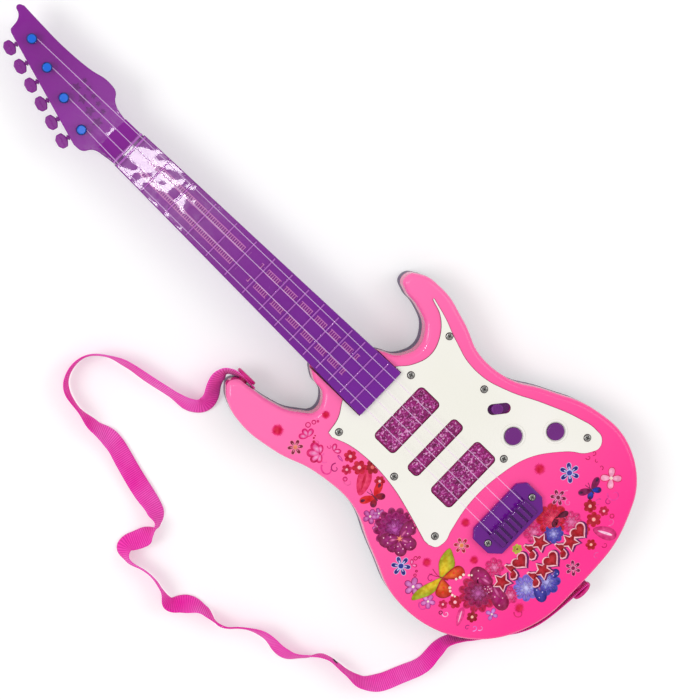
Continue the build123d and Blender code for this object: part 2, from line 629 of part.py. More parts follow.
def neck_back():
    """Rounded back of the neck and headstock."""
    grip = slab(neck_face(), NECK_BACK_Z, NECK_SPLIT_Z)
    corners = grip.edges().filter_by(Axis.Z).group_by(Axis.Y)[0]
    grip = fillet(corners, 2.0)
    long_edges = [e for e in grip.edges().group_by(Axis.Z)[0] if e.length > 100]
    grip = fillet(long_edges, NECK_BACK_R)
    inner = slab(neck_face(NECK_WALL), NECK_BACK_Z + 2.2, NECK_SPLIT_Z)
    inner_edges = [e for e in inner.edges().group_by(Axis.Z)[0] if e.length > 100]
    grip -= fillet(inner_edges, NECK_BACK_R - 2)
    head = slab(head_face(), HEAD_BACK_Z, NECK_SPLIT_Z)
    head = fillet(head.faces().sort_by(Axis.Z)[0].edges(), 0.7)
    hollow = make_face(Polyline(*HEAD_HOLLOW, close=True))
    throat = side_wedge([(NUT_Y - 3, NECK_BACK_Z), (NUT_Y - 3, 31), (474, 31), (474, HEAD_BACK_Z),
                         (468, HEAD_BACK_Z), (NUT_Y + 2, NECK_BACK_Z)], 14.6)
    throat = fillet(throat.edges().group_by(Axis.Z)[0].filter_by(Axis.Y), 4)
    adds = []
    cuts = key_bores()
    for y in NECK_SCREW_Y:
        adds.append(cyl(0, y, NECK_BACK_Z + 1, NECK_SPLIT_Z, 3.8))
        cuts.append(cyl(0, y, NECK_BACK_Z - 1, NECK_BACK_Z + 6, 2.9))
        cuts.append(cyl(0, y, NECK_BACK_Z, NECK_SPLIT_Z + 1, 1.4))
    for x, y in HEAD_SCREWS:
        adds.append(cyl(x, y, HEAD_BACK_Z + 1, NECK_SPLIT_Z, 3.8))
        cuts.append(cyl(x, y, HEAD_BACK_Z - 1, HEAD_BACK_Z + 2.6, 2.9))
        cuts.append(cyl(x, y, HEAD_BACK_Z, NECK_SPLIT_Z + 1, 1.4))
    for x, y in HEEL_SCREWS:
        adds.append(cyl(x, y, NECK_BACK_Z + 1, NECK_SPLIT_Z - 1.5, 3.2))
        cuts.append(cyl(x, y, NECK_BACK_Z - 1, NECK_SPLIT_Z - 3, PILOT_R))
    cuts.append(Pos(LEAD_X, NECK_START_Y + 1, LEAD_Z) * Rotation(90, 0, 0) * Cylinder(1.6, 8))
    head_whole = head + throat - slab(hollow, HEAD_BACK_Z + 2, NECK_SPLIT_Z)
    return grip + head_whole + adds - cuts


def neck_case_screws():
    parts = [screw(0, y, NECK_BACK_Z + 6, 11.0, 2.6, 1.05, up=False) for y in NECK_SCREW_Y]
    parts += [screw(x, y, HEAD_BACK_Z + 2.6, 7.4, 2.6, 1.05, up=False) for x, y in HEAD_SCREWS]
    return Part() + parts


def heel_screws():
    return Part() + [screw(x, y, SPLIT_Z, 10.0, up=False) for x, y in HEEL_SCREWS]


def string_post(x, y):
    """Push-in string post: flange, waist for the string, domed cap."""
    stem = cyl(x, y, NECK_SPLIT_Z + 1, HEAD_TOP_Z + 0.1, POST_STEM_R)
    flange = cyl(x, y, HEAD_TOP_Z, HEAD_TOP_Z + 1.1, POST_CAP_R - 0.5)
    waist = cyl(x, y, HEAD_TOP_Z + 1, 43.4, POST_WAIST_R)
    cap = cyl(x, y, 43.3, 47.4, POST_CAP_R)
    cap = chamfer(cap.edges().group_by(Axis.Z)[-1], 1.3)
    cap = fillet(cap.edges().group_by(Axis.Z)[-1], 0.4)
    cap = fillet(cap.edges().group_by(Axis.Z)[0], 0.5)
    return stem + flange + waist + cap


def string(i):
    """One string with two turns round its post, over the nut and into its saddle."""
    x, y = POSTS[i]
    turn_r = POST_WAIST_R + STRING_R + 0.08
    turns = [Pos(x, y, z) * Torus(turn_r, STRING_R) for z in (41.05, 41.9)]
    start = (x + turn_r, y + 1.0, 42.8)
    nut = (STRING_NUT_X[i], NUT_Y, STRING_NUT_Z)
    end = (STRING_BRIDGE_X[i], BRIDGE_DIP_Y[0] + 0.02, STRING_BRIDGE_Z)
    path = FilletPolyline(start, nut, end, radius=20)
    line = sweep(Plane(origin=path @ 0, z_dir=path % 0) * Circle(STRING_R), path)
    return Part() + turns + line


def tuning_key(i):
    """Oval key on a short shaft that turns in the headstock's edge."""
    place = key_place(i)
    shaft = Pos(-0.75, 0, 0) * Rotation(0, 90, 0) * Cylinder(KEY_SHAFT_R, 6.7)
    keeper = Pos(-3.2, 0, 0) * Rotation(0, 90, 0) * Cylinder(2.5, 1.4)
    collar = Pos(0.95, 0, 0) * Rotation(0, 90, 0) * Cylinder(2.3, 1.3)
    half, reach = KEY_WING
    corners = [(half, 0.45 * reach), (0.45 * half, reach), (-0.55 * half, reach), (-half, 0.35 * reach)]
    mirrored = [(x, -y) for x, y in reversed(corners)]
    outline = fillet(make_face(Polyline(*corners, *mirrored, close=True)).vertices(), 1.9)
    wing = extrude(outline, KEY_WING_T / 2, both=True)
    wing = fillet(wing.edges().group_by(Axis.Z)[0] + wing.edges().group_by(Axis.Z)[-1], 1.0)
    ridge = Box(1.1, 1.5 * KEY_WING[1], KEY_WING_T + 0.5)
    ridge = fillet(ridge.edges().filter_by(Axis.Y), 0.5)
    return place * (shaft + keeper + collar + Pos(KEY_WING_OUT, 0, 0) * (wing + ridge))


def light_pipes(span):
    """A pair of ribbed clear strips under the fretboard."""
    return Part() + [light_pipe(side, span) for side in (-1, 1)]


def light_pipe(side, span):
    y0, y1 = span
    reach = PIPE_SPANS[1][1] - PIPE_SPANS[0][0]
    x0 = PIPE_X[0] + (PIPE_X[1] - PIPE_X[0]) * (y0 - PIPE_SPANS[0][0]) / reach
    lean = math.degrees(math.atan((PIPE_X[0] - PIPE_X[1]) / reach))
    strip = block(-PIPE_W / 2, PIPE_W / 2, 0, y1 - y0, *PIPE_Z)
    grooves = []
    count = int((y1 - y0) / PIPE_RIB_PITCH)
    for n in range(1, count):
        y = n * PIPE_RIB_PITCH
        grooves.append(block(-PIPE_W, PIPE_W, y - 0.4, y + 0.4, PIPE_Z[1] - 0.8, PIPE_Z[1] + 1))
    return Pos(side * x0, y0, 0) * Rotation(0, 0, side * lean) * (strip - grooves)


def neck_light_board():
    return block(-18, 18, LED_BOARD_Y - 0.8, LED_BOARD_Y + 0.8, LED_BOARD_Z, 40.6)


def neck_leds():
    parts = []
    for side in (-1, 1):
        for y, way in ((LED_BOARD_Y + 0.8, 1), (LED_BOARD_Y - 0.8, -1)):
            led = Pos(side * 7.3, y + way * 1.75, 39.1) * Rotation(90, 0, 0) * Cylinder(1.4, 3.5)
            parts.append(led)
    return Part() + parts


# ================= power and sound =================
def door_plan(gap, z0, z1):
    """Plan of the battery door with its screw ear, shrunk by the gap."""
    half = BAY_HALF_X + DOOR_LEDGE - gap
    y0 = BAY_Y[0] - DOOR_LEDGE + gap
    y1 = BAY_Y[1] + DOOR_LEDGE - gap
    ear = cyl(0, DOOR_EAR_Y, z0, z1, 5.3 - gap)
    neck = block(-5.3 + gap, 5.3 - gap, DOOR_EAR_Y, y0 + 1, z0, z1)
    return block(-half, half, y0, y1, z0, z1) + neck + ear


def battery_door():
    plate = door_plan(DOOR_GAP, 0, DOOR_T)
    y_edge = BAY_Y[1] + DOOR_LEDGE - DOOR_GAP
    hinge_edges = plate.faces().sort_by(Axis.Y)[-1].edges().filter_by(Axis.X)
    plate = fillet(hinge_edges, DOOR_T / 2 - 0.02)
    tabs = [block(x - 4, x + 4, y_edge - 1.5, y_edge + 2.2, 1.0, 2.0) for x in (-18, 18)]
    grips = [block(-9, 9, y_edge - 8 - 2.4 * n, y_edge - 7 - 2.4 * n, -1, 0.5) for n in range(4)]
    screw_hole = cyl(0, DOOR_EAR_Y, -1, 5, 1.4)
    sink = cyl(0, DOOR_EAR_Y, -1, 1.1, 2.9)
    return plate + tabs - grips - screw_hole - sink


def door_screw():
    head = cyl(0, DOOR_EAR_Y, 0.2, 1.1, 2.7) - Pos(0, DOOR_EAR_Y, 0.2) * Box(3.4, 0.8, 0.8)
    return head + cyl(0, DOOR_EAR_Y, 1.0, 5.6, 1.3)


def cell_rows():
    middle = sum(BAY_Y) / 2
    return [(middle - 15.3, 1), (middle, -1), (middle + 15.3, 1)]


def batteries():
    cells = []
    for y, way in cell_rows():
        can = Rotation(0, 90, 0) * Cylinder(CELL_R, CELL_LEN)
        can = fillet(can.edges(), 0.6)
        nub = Pos(CELL_LEN / 2 + 0.5, 0, 0) * Rotation(0, 90, 0) * Cylinder(2.7, 1.4)
        turn = Rotation(0, 0, 0 if way > 0 else 180)
        cells.append(Pos(0, y, CELL_Z) * turn * (can + nub))
    return Part() + cells


def contact_plates():
    plates = []
    for y, way in cell_rows():
        for side in (-1, 1):
            x = side * (BAY_HALF_X - 0.25)
            plate = Pos(x, y, CELL_Z) * Box(0.5, 11, 12)
            if side == way:
                pip = Pos(x - side * 1.45, y, CELL_Z) * Rotation(0, 90, 0) * Cylinder(2.0, 2.5)
                plate += pip
            plates.append(plate)
    return Part() + plates


def contact_springs():
    """Coil springs on the flat ends of the cells."""
    coils = []
    wire_r = 0.35
    height = BAY_HALF_X - 0.5 - CELL_LEN / 2 - 2 * wire_r - 0.1
    for y, way in cell_rows():
        path = Helix(pitch=height / 3, height=height, radius=3.2)
        coil = sweep(Plane(origin=path @ 0, z_dir=path % 0) * Circle(wire_r), path, is_frenet=True)
        start = -way * (BAY_HALF_X - 0.5 - wire_r - 0.05)
        coils.append(Pos(start, y, CELL_Z) * Rotation(0, 90 if way > 0 else -90, 0) * coil)
    return Part() + coils


def speaker_lug(angle):
    reach = SPEAKER_R + 3.4
    turn = math.radians(angle)
    return SPEAKER_AT[0] + reach * math.cos(turn), SPEAKER_AT[1] + reach * math.sin(turn)


def speaker_frame():
    x, y = SPEAKER_AT
    rim = cyl(x, y, REAR_T, 4.0, SPEAKER_R) - cyl(x, y, 0, 10, SPEAKER_R - 3)
    basket = cyl(x, y, 3.8, 8.4, SPEAKER_R - 1.5) - cyl(x, y, 0, 7.6, SPEAKER_R - 3)
    basket -= cyl(x, y, 0, 10, 5.5)
    windows = []
    for n in range(4):
        windows.append(Pos(x, y, 8) * Rotation(0, 0, 45 + 90 * n) * Pos(12.5, 0, 0) * Box(5, 9, 4))
    lugs = []
    for angle in (90, 210, 330):
        lx, ly = speaker_lug(angle)
        link = Pos(x, y, 0) * Rotation(0, 0, angle) * block(SPEAKER_R - 2, SPEAKER_R + 3.4, -2.2, 2.2,
                                                           5.0, 5.8)
        lugs.append(link + cyl(lx, ly, 5.0, 5.8, 2.6) - cyl(lx, ly, 4, 7, 1.1))
    terminal = block(x + 15, x + 21.6, y + 9, y + 13, 6.6, 7.6)
    return rim + basket - windows + lugs + terminal


def speaker_cone():
    x, y = SPEAKER_AT
    profile = Polyline((5.0, 6.6), (15.5, 3.4), (16.7, 3.4), (16.7, 3.0), (15.4, 3.0), (4.6, 6.3),
                       (0, 4.6), (0, 4.9), (4.4, 6.7), close=True)
    face = Plane.XZ * make_face(profile)
    return Pos(x, y, 0) * revolve(face, Axis.Z)


def speaker_magnet():
    x, y = SPEAKER_AT
    ring = cyl(x, y, 8.4, 14.4, 9.5)
    return fillet(ring.edges().group_by(Axis.Z)[-1], 0.8) + cyl(x, y, 7.2, 8.5, 5.0)


def speaker_screws():
    return Part() + [screw(*speaker_lug(a), 5.8, 3.2, 1.9, 0.9) for a in (90, 210, 330)]


def main_board():
    plate = slab(make_face(Polyline(*BOARD_OUTLINE, close=True)), BOARD_Z, BOARD_Z + BOARD_T)
    return plate - [cyl(x, y, 20, 30, 1.2) for x, y in BOARD_POSTS]


def board_screws():
    return Part() + [screw(x, y, BOARD_Z + BOARD_T, 9.0, 2.2, 0.9) for x, y in BOARD_POSTS]


def board_parts():
    top = BOARD_Z + BOARD_T
    blob = cyl(58, 22, top, top + 1.8, 5.5)
    blob = fillet(blob.edges().group_by(Axis.Z)[-1], 1.6)
    cans = [cyl(70, 33, top, top + 6.5, 2.6), cyl(76, 40, top, top + 6.5, 2.6)]
    chip = block(50, 58, 58, 63, top, top + 1.6)
    return Part() + [blob, chip] + cans


def lead(points, radius):
    path = FilletPolyline(*points, radius=radius)
    return sweep(Plane(origin=path @ 0, z_dir=path % 0) * Circle(LEAD_R), path)


def battery_leads():
    roof = BAY_ROOF_Z + 1.1
    first = lead([(27, -26, roof), (27, -26, 22.8), (40, -8, 22.8), (50, 1, 22.8), (50, 8, 22.8)], 2.4)
    second = lead([(27, -46, roof), (27, -46, 22.8), (46, -16, 22.8), (56, 1, 22.8), (56, 8, 22.8)], 2.4)
    return Part() + [first, second]


def speaker_leads():
    x, y = SPEAKER_AT
    parts = []
    for n, shift in enumerate((0, 2.2)):
        start = (x + 17.4 + shift, y + 11, 7.6)
        raised = (start[0], start[1], 22.8)
        level = 60 + 4 * n
        parts.append(lead([start, raised, (-8, level + 12, 22.8), (35, level, 22.8),
                           (42, level, 22.8)], 2.4))
    return Part() + parts


def light_leads():
    """From the main board through the heel and up the neck to its light board."""
    route = [(42, 74, 22.8), (34, 74, 22.8), (30, 104, 22.8), (LEAD_X, 136, LEAD_Z),
             (LEAD_X, LED_BOARD_Y - 1.5, LEAD_Z), (LEAD_X, LED_BOARD_Y, LED_BOARD_Z - 0.02)]
    return lead(route, 1.4)


# ================= strap and its pegs =================
def strap_peg(place, root, face, disc_t=PEG_DISC_T):
    """Strap button along the local X axis, its shaft trimmed to the body's wall."""
    shaft = Pos((root + face) / 2, 0, 0) * Rotation(0, 90, 0) * Cylinder(PEG_SHAFT_R, face - root)
    disc = Pos(face + disc_t / 2, 0, 0) * Rotation(0, 90, 0) * Cylinder(PEG_DISC_R, disc_t)
    disc = fillet(disc.edges(), 1.1)
    return place * (shaft + disc) - body_block()


def horn_peg():
    return strap_peg(Pos(0, HORN_PEG_Y, PEG_Z), *HORN_PEG_X)


def tail_peg():
    place = Plane(origin=(0, 0, PEG_Z), x_dir=(0, -1, 0), z_dir=(0, 0, 1))
    return strap_peg(place, -TAIL_PEG_Y[0], -TAIL_PEG_Y[1])


def strap_radii():
    """Bend radius at each inner point of the route."""
    radii = []
    for i in range(1, len(STRAP_ROUTE) - 1):
        here = Vector(*STRAP_ROUTE[i])
        back = here - Vector(*STRAP_ROUTE[i - 1])
        ahead = Vector(*STRAP_ROUTE[i + 1]) - here
        turn = math.radians(back.get_angle(ahead))
        share = 0.25 if {i - 1, i} & set(RAMP_RUNS) else 0.45
        radii.append(share * min(back.length, ahead.length) / math.tan(turn / 2))
    return radii


def strap():
    radii = strap_radii()
    path = FilletPolyline(*STRAP_ROUTE, radius=radii)
    edges = list(path.edges())
    line_at = [2 * run for run in RAMP_RUNS]
    levels = [(edges[:line_at[0]], PEG_Z), (edges[line_at[0] + 1:line_at[1]], FLOOR_Z),
              (edges[line_at[1] + 1:], PEG_Z)]
    whole = Part()
    for group, z in levels:
        wire = Wire([Pos(0, 0, z) * edge for edge in group])
        start = Plane(origin=wire @ 0, x_dir=(0, 0, 1), z_dir=wire % 0)
        whole += sweep(start * Rectangle(STRAP_W, STRAP_T), wire)
    for index, z0, z1 in ((line_at[0], PEG_Z, FLOOR_Z), (line_at[1], FLOOR_Z, PEG_Z)):
        a = edges[index] @ 0
        b = edges[index] @ 1
        reach = (b - a).length
        side = make_face(Polyline((0, z0 - STRAP_W / 2), (reach, z1 - STRAP_W / 2),
                                  (reach, z1 + STRAP_W / 2), (0, z0 + STRAP_W / 2), close=True))
        ahead = (b - a).normalized()
        place = Plane(origin=a, x_dir=ahead, z_dir=ahead.cross(Vector(0, 0, 1)))
        whole += place * extrude(side, STRAP_T / 2, both=True)
    hole = Rotation(0, 90, 0) * Cylinder(PEG_SHAFT_R + 0.2, 8)
    whole -= Pos(-70.4, HORN_PEG_Y, PEG_Z) * hole
    whole -= Pos(0, TAIL_HOLE_Y, PEG_Z) * Rotation(0, 0, 90) * hole
    print("strap length", round(path.length, 1), "bend radii", [round(r, 1) for r in radii])
    return whole - rivet_place() * Rotation(0, 90, 0) * Cylinder(1.3, 8)


def rivet_place():
    a = Vector(*STRAP_ROUTE[RIVET_RUN])
    b = Vector(*STRAP_ROUTE[RIVET_RUN + 1])
    middle = (a + b) * 0.5
    ahead = (b - a).normalized()
    across = Vector(ahead.Y, -ahead.X, 0)
    return Plane(origin=(middle.X, middle.Y, FLOOR_Z), x_dir=across, z_dir=(0, 0, 1))


def strap_rivet():
    shank = Rotation(0, 90, 0) * Cylinder(1.2, STRAP_T + 0.4)
    heads = []
    for side in (-1, 1):
        head = Pos(side * (STRAP_T / 2 + 0.45), 0, 0) * Rotation(0, 90, 0) * Cylinder(2.6, 0.8)
        heads.append(head)
    return rivet_place() * (shank + heads)


# ================= the set of nodes =================
def all_parts():
    parts = {
        "front_shell": front_shell(),
        "rear_shell": rear_shell(),
        "pickguard": pickguard(),
        "pickguard_screws": guard_screws(),
        "case_screws": case_screws(),
        "pickup_light_boards": light_boards(),
        "pickup_leds": light_leds(),
        "tact_switches": tact_switches(),
        "switch_slider": switch_slider(),
        "switch_actuator": switch_actuator(),
        "switch_body": switch_body(),
        "bridge": bridge(),
        "bridge_screws": bridge_screws(),
        "neck_front": neck_front(),
        "neck_back": neck_back(),
        "neck_case_screws": neck_case_screws(),
        "neck_heel_screws": heel_screws(),
        "neck_light_board": neck_light_board(),
        "neck_leds": neck_leds(),
        "battery_door": battery_door(),
        "battery_door_screw": door_screw(),
        "batteries": batteries(),
        "battery_contact_plates": contact_plates(),
        "battery_contact_springs": contact_springs(),
        "speaker_frame": speaker_frame(),
        "speaker_cone": speaker_cone(),
        "speaker_magnet": speaker_magnet(),
        "speaker_screws": speaker_screws(),
        "main_board": main_board(),
        "main_board_screws": board_screws(),
        "main_board_parts": board_parts(),
        "battery_leads": battery_leads(),
        "speaker_leads": speaker_leads(),
        "neck_light_lead": light_leads(),
        "strap_peg_horn": horn_peg(),
        "strap_peg_tail": tail_peg(),
        "strap": strap(),
        "strap_rivet": strap_rivet(),
    }
    for name, (y0, y1) in LENSES.items():
        parts["pickup_lens_" + name] = lens(y0, y1)
    for name, (x, y) in BUTTONS.items():
        parts["button_" + name] = button(x, y)
    for i, (x, y) in enumerate(POSTS):
        parts[f"string_post_{i + 1}"] = string_post(x, y)
        parts[f"string_{i + 1}"] = string(i)
    for i in range(KEY_COUNT):
        parts[f"tuning_key_{i + 1}"] = tuning_key(i)
    for name, span in zip(("heel_end", "nut_end"), PIPE_SPANS):
        parts["light_pipes_" + name] = light_pipes(span)
    return parts


os.makedirs("parts", exist_ok=True)
for name, shape in all_parts().items():
    export_step(shape, f"parts/{name}.step")
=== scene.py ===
import math
import random

import bpy
from mathutils import Matrix, Vector
from mathutils.bvhtree import BVHTree


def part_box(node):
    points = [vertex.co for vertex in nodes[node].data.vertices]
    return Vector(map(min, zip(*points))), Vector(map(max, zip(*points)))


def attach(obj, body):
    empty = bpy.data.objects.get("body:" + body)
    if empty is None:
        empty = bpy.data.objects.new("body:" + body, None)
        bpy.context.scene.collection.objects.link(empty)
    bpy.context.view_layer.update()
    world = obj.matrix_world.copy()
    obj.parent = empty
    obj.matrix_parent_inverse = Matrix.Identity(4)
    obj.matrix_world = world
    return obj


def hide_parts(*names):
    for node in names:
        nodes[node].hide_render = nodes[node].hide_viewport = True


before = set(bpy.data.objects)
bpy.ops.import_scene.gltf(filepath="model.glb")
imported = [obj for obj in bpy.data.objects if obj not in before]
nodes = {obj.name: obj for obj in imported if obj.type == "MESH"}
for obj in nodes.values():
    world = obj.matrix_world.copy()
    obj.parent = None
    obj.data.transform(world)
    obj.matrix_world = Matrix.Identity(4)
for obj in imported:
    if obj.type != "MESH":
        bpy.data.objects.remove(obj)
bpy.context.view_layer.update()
MM = 0.001


# ================= camera, light and floor =================
# Seen from above the nut, with the neck running to the upper left of the picture.
EYE = Vector((-0.0277, 0.4987, 1.738))
RIGHT = Vector((0.695, -0.7054, 0.1393))
BACK = Vector((-0.0212, 0.1735, 0.9846))
LENS = 105.43
FLOOR_REACH = 6.0
FLOOR_DROP = 0.0002     # the floor lies this far under the flat back


def make_camera():
    data = bpy.data.cameras.new("camera")
    data.lens = LENS
    data.sensor_width = 36
    data.clip_end = 50
    camera = bpy.data.objects.new("camera", data)
    bpy.context.scene.collection.objects.link(camera)
    back = BACK.normalized()
    right = (RIGHT - back * RIGHT.dot(back)).normalized()
    up = back.cross(right)
    turn = Matrix((right, up, back)).transposed().to_4x4()
    camera.matrix_world = Matrix.Translation(EYE) @ turn
    bpy.context.scene.camera = camera


def area_light(name, place, aim, size, power, ratio=1.0):
    data = bpy.data.lights.new(name, "AREA")
    data.shape = "RECTANGLE"
    data.size = size
    data.size_y = size * ratio
    data.energy = power
    light = bpy.data.objects.new(name, data)
    light.location = place
    light.rotation_euler = (Vector(aim) - Vector(place)).to_track_quat("-Z", "Y").to_euler()
    bpy.context.scene.collection.objects.link(light)


def make_studio():
    world = bpy.data.worlds.new("studio")
    bpy.context.scene.world = world
    world.use_nodes = True
    backdrop = world.node_tree.nodes["Background"]
    backdrop.inputs["Color"].default_value = (1, 1, 1, 1)
    backdrop.inputs["Strength"].default_value = 0.68
    area_light("key", place=(-1.6, 1.9, 2.6), aim=(-0.05, 0.2, 0), size=1.5, power=38)
    area_light("fill", place=(1.9, -0.9, 2.2), aim=(0, 0.2, 0), size=1.8, power=16)
    area_light("nut_glare", place=(0.039, 0.312, 2.4), aim=(0, 0.42, 0.04), size=0.1, power=2.6,
               ratio=1.6)
    bpy.context.scene.view_settings.view_transform = "Standard"


def make_floor():
    mesh = bpy.data.meshes.new("floor")
    reach = FLOOR_REACH
    corners = [(-reach, -reach, 0), (reach, -reach, 0), (reach, reach, 0), (-reach, reach, 0)]
    mesh.from_pydata(corners, [], [(0, 1, 2, 3)])
    floor = bpy.data.objects.new("floor", mesh)
    bpy.context.scene.collection.objects.link(floor)
    mat = bpy.data.materials.new("floor")
    mat.use_nodes = True
    shader = mat.node_tree.nodes["Principled BSDF"]
    shader.inputs["Base Color"].default_value = (0.78, 0.78, 0.78, 1)
    shader.inputs["Roughness"].default_value = 0.9
    shader.inputs["Emission Color"].default_value = (1, 1, 1, 1)
    shader.inputs["Emission Strength"].default_value = 0.24
    mesh.materials.append(mat)
    floor.location.z = -FLOOR_DROP


# ================= strap =================
STRAP_W = 17.5
STRAP_T = 1.4
PEG_Z = 19.0
STRAP_LIFT = 1.3        # room under the webbing for its cupped and ribbed faces
RIB_PITCH = 1.7
RIB_HEIGHT = 0.16
THREAD_PITCH = 0.42
CUP_DEPTH = 0.35        # the webbing bows across its width by up to this much
CUP_WAVES = 95          # radians of that bow's swing in a metre
EDGE_POWER = 14         # the higher, the squarer the selvedge
EDGE_SHARE = 0.35       # the selvedge's thickness as a share of the middle's
PATH_STEP = 0.00035     # metres between two cross-sections
# Seen from above, in millimetres, with the lean of the webbing in degrees: 0 stands on edge.
STRAP_ROUTE = [
    (-70.4, 233, 0), (-70.4, 258.6, 20), (-87, 262.4, 46), (-106, 249, 56), (-119, 256.5, 44),
    (-122.5, 279, 26), (-127, 301, 26), (-130, 323.5, 22), (-137, 341.5, 8), (-149, 354.5, 8),
    (-166.5, 355.5, 12), (-181.5, 347, 14), (-186.5, 327, 5), (-188, 306, 30), (-185, 286.5, 60),
    (-192.5, 264, 68), (-199.5, 240, 72), (-203.5, 218.5, 54), (-212, 206, 18), (-228.5, 209, -60),
    (-244.5, 218.5, -46), (-253, 206, -16), (-246.5, 188, -8), (-249, 169, 0), (-257.5, 153, 30),
    (-244, 143.5, 50), (-236.5, 127.5, 18), (-240.5, 106, -14), (-225.5, 92.5, -14),
    (-216.5, 73, -26), (-220.5, 50, -38), (-209, 35, -20), (-194.5, 23.5, 0), (-194, 1, 8),
    (-192.5, -18, 26), (-181, -31, 46), (-162, -39, 44), (-144, -48, 40), (-127, -46, 34),
    (-112, -46.5, 18), (-100, -58.5, 4), (-82, -73.5, 0), (-56, -90.5, 0), (-23.5, -96.6, 0),
    (8.5, -98.6, 0),
]
HIGH_ENDS = (3, 3)      # how many points at each end are at peg height


def strap_points():
    """Control points in metres: the webbing's lower edge rests on the floor between its ends."""
    points = []
    last = len(STRAP_ROUTE) - HIGH_ENDS[1]
    for i, (x, y, lean) in enumerate(STRAP_ROUTE):
        z = STRAP_W / 2 * abs(math.cos(math.radians(lean))) + STRAP_T / 2 + STRAP_LIFT
        if i < HIGH_ENDS[0] or i >= last:
            z = PEG_Z
        points.append(Vector((x, y, z)) * MM)
    return points


def smooth_line(points, resolution=24):
    """The points of a smooth NURBS line with the given control points."""
    data = bpy.data.curves.new("route", "CURVE")
    data.dimensions = "3D"
    data.resolution_u = resolution
    spline = data.splines.new("NURBS")
    spline.points.add(len(points) - 1)
    for target, point in zip(spline.points, points):
        target.co = (*point, 1)
    spline.order_u = 3
    spline.use_endpoint_u = True
    holder = bpy.data.objects.new("route", data)
    mesh = bpy.data.meshes.new_from_object(holder)
    line = [v.co.copy() for v in mesh.vertices]
    bpy.data.meshes.remove(mesh)
    bpy.data.objects.remove(holder)
    bpy.data.curves.remove(data)
    return line


def spaced(line, step):
    """The line's points at an even spacing, with each one's distance along it."""
    far = [0.0]
    for a, b in zip(line, line[1:]):
        far.append(far[-1] + (b - a).length)
    count = max(2, int(far[-1] / step))
    result = []
    j = 0
    for i in range(count + 1):
        s = far[-1] * i / count
        while j < len(far) - 2 and far[j + 1] < s:
            j += 1
        t = (s - far[j]) / max(far[j + 1] - far[j], 1e-9)
        result.append((line[j].lerp(line[j + 1], t), s))
    return result


def eased(keys, s):
    """The value at s between (s, value) keys, eased at each key."""
    for (s0, v0), (s1, v1) in zip(keys, keys[1:]):
        if s <= s1:
            t = min(1.0, max(0.0, (s - s0) / max(s1 - s0, 1e-9)))
            t = t * t * (3 - 2 * t)
            return v0 + (v1 - v0) * t
    return keys[-1][1]


def make_strap():
    controls = strap_points()
    path = spaced(smooth_line(controls), PATH_STEP)
    keys = []
    for point, (_, _, lean) in zip(controls, STRAP_ROUTE):
        nearest = min(path, key=lambda sample: (sample[0] - point).length)
        keys.append((nearest[1], math.radians(lean)))
    half = STRAP_W * MM / 2
    thick = STRAP_T * MM / 2
    across = 10
    verts = []
    faces = []
    uvs = []
    ring = 2 * (across + 1)
    for i, (point, s) in enumerate(path):
        before = path[max(i - 3, 0)][0]
        after = path[min(i + 3, len(path) - 1)][0]
        ahead = (after - before).normalized()
        up = (Vector((0, 0, 1)) - ahead * ahead.z).normalized()
        side = ahead.cross(up)
        lean = eased(keys, s)
        wide = up * math.cos(lean) + side * math.sin(lean)
        flat = ahead.cross(wide)
        rib = RIB_HEIGHT * MM * math.cos(2 * math.pi * s / (RIB_PITCH * MM))
        for face in (1, -1):
            for k in range(across + 1):
                u = (2 * k / across - 1) * face
                edge = math.sqrt(max(0.0, 1 - abs(u) ** EDGE_POWER))
                cup = CUP_DEPTH * MM * (1 - u * u) * math.sin(s * CUP_WAVES)
                body = thick * (EDGE_SHARE + (1 - EDGE_SHARE) * edge)
                swell = (body + rib * (0.3 + 0.7 * edge)) * face
                verts.append(point + wide * (u * half) + flat * (swell + cup))
                uvs.append((s * 1000, u * STRAP_W / 2))
        if i:
            base = (i - 1) * ring
            for k in range(ring):
                n = (k + 1) % ring
                faces.append((base + k, base + n, base + ring + n, base + ring + k))
    faces.append(tuple(reversed(range(ring))))
    faces.append(tuple(range(len(verts) - ring, len(verts))))
    mesh = bpy.data.meshes.new("strap_webbing")
    mesh.from_pydata(verts, [], faces)
    layer = mesh.uv_layers.new(name="webbing")
    for loop in mesh.loops:
        layer.data[loop.index].uv = uvs[loop.vertex_index]
    for polygon in mesh.polygons:
        polygon.use_smooth = True
    strap = bpy.data.objects.new("strap_webbing", mesh)
    bpy.context.scene.collection.objects.link(strap)
    mesh.materials.append(webbing_material())
    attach(strap, "guitar")
    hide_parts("strap")


# ================= materials =================
def linear(r, g, b):
    """A linear colour from 0 to 255 display values."""
    values = []
    for v in (r, g, b):
        v /= 255
        values.append(v / 12.92 if v <= 0.04045 else ((v + 0.055) / 1.055) ** 2.4)
    return (*values, 1.0)


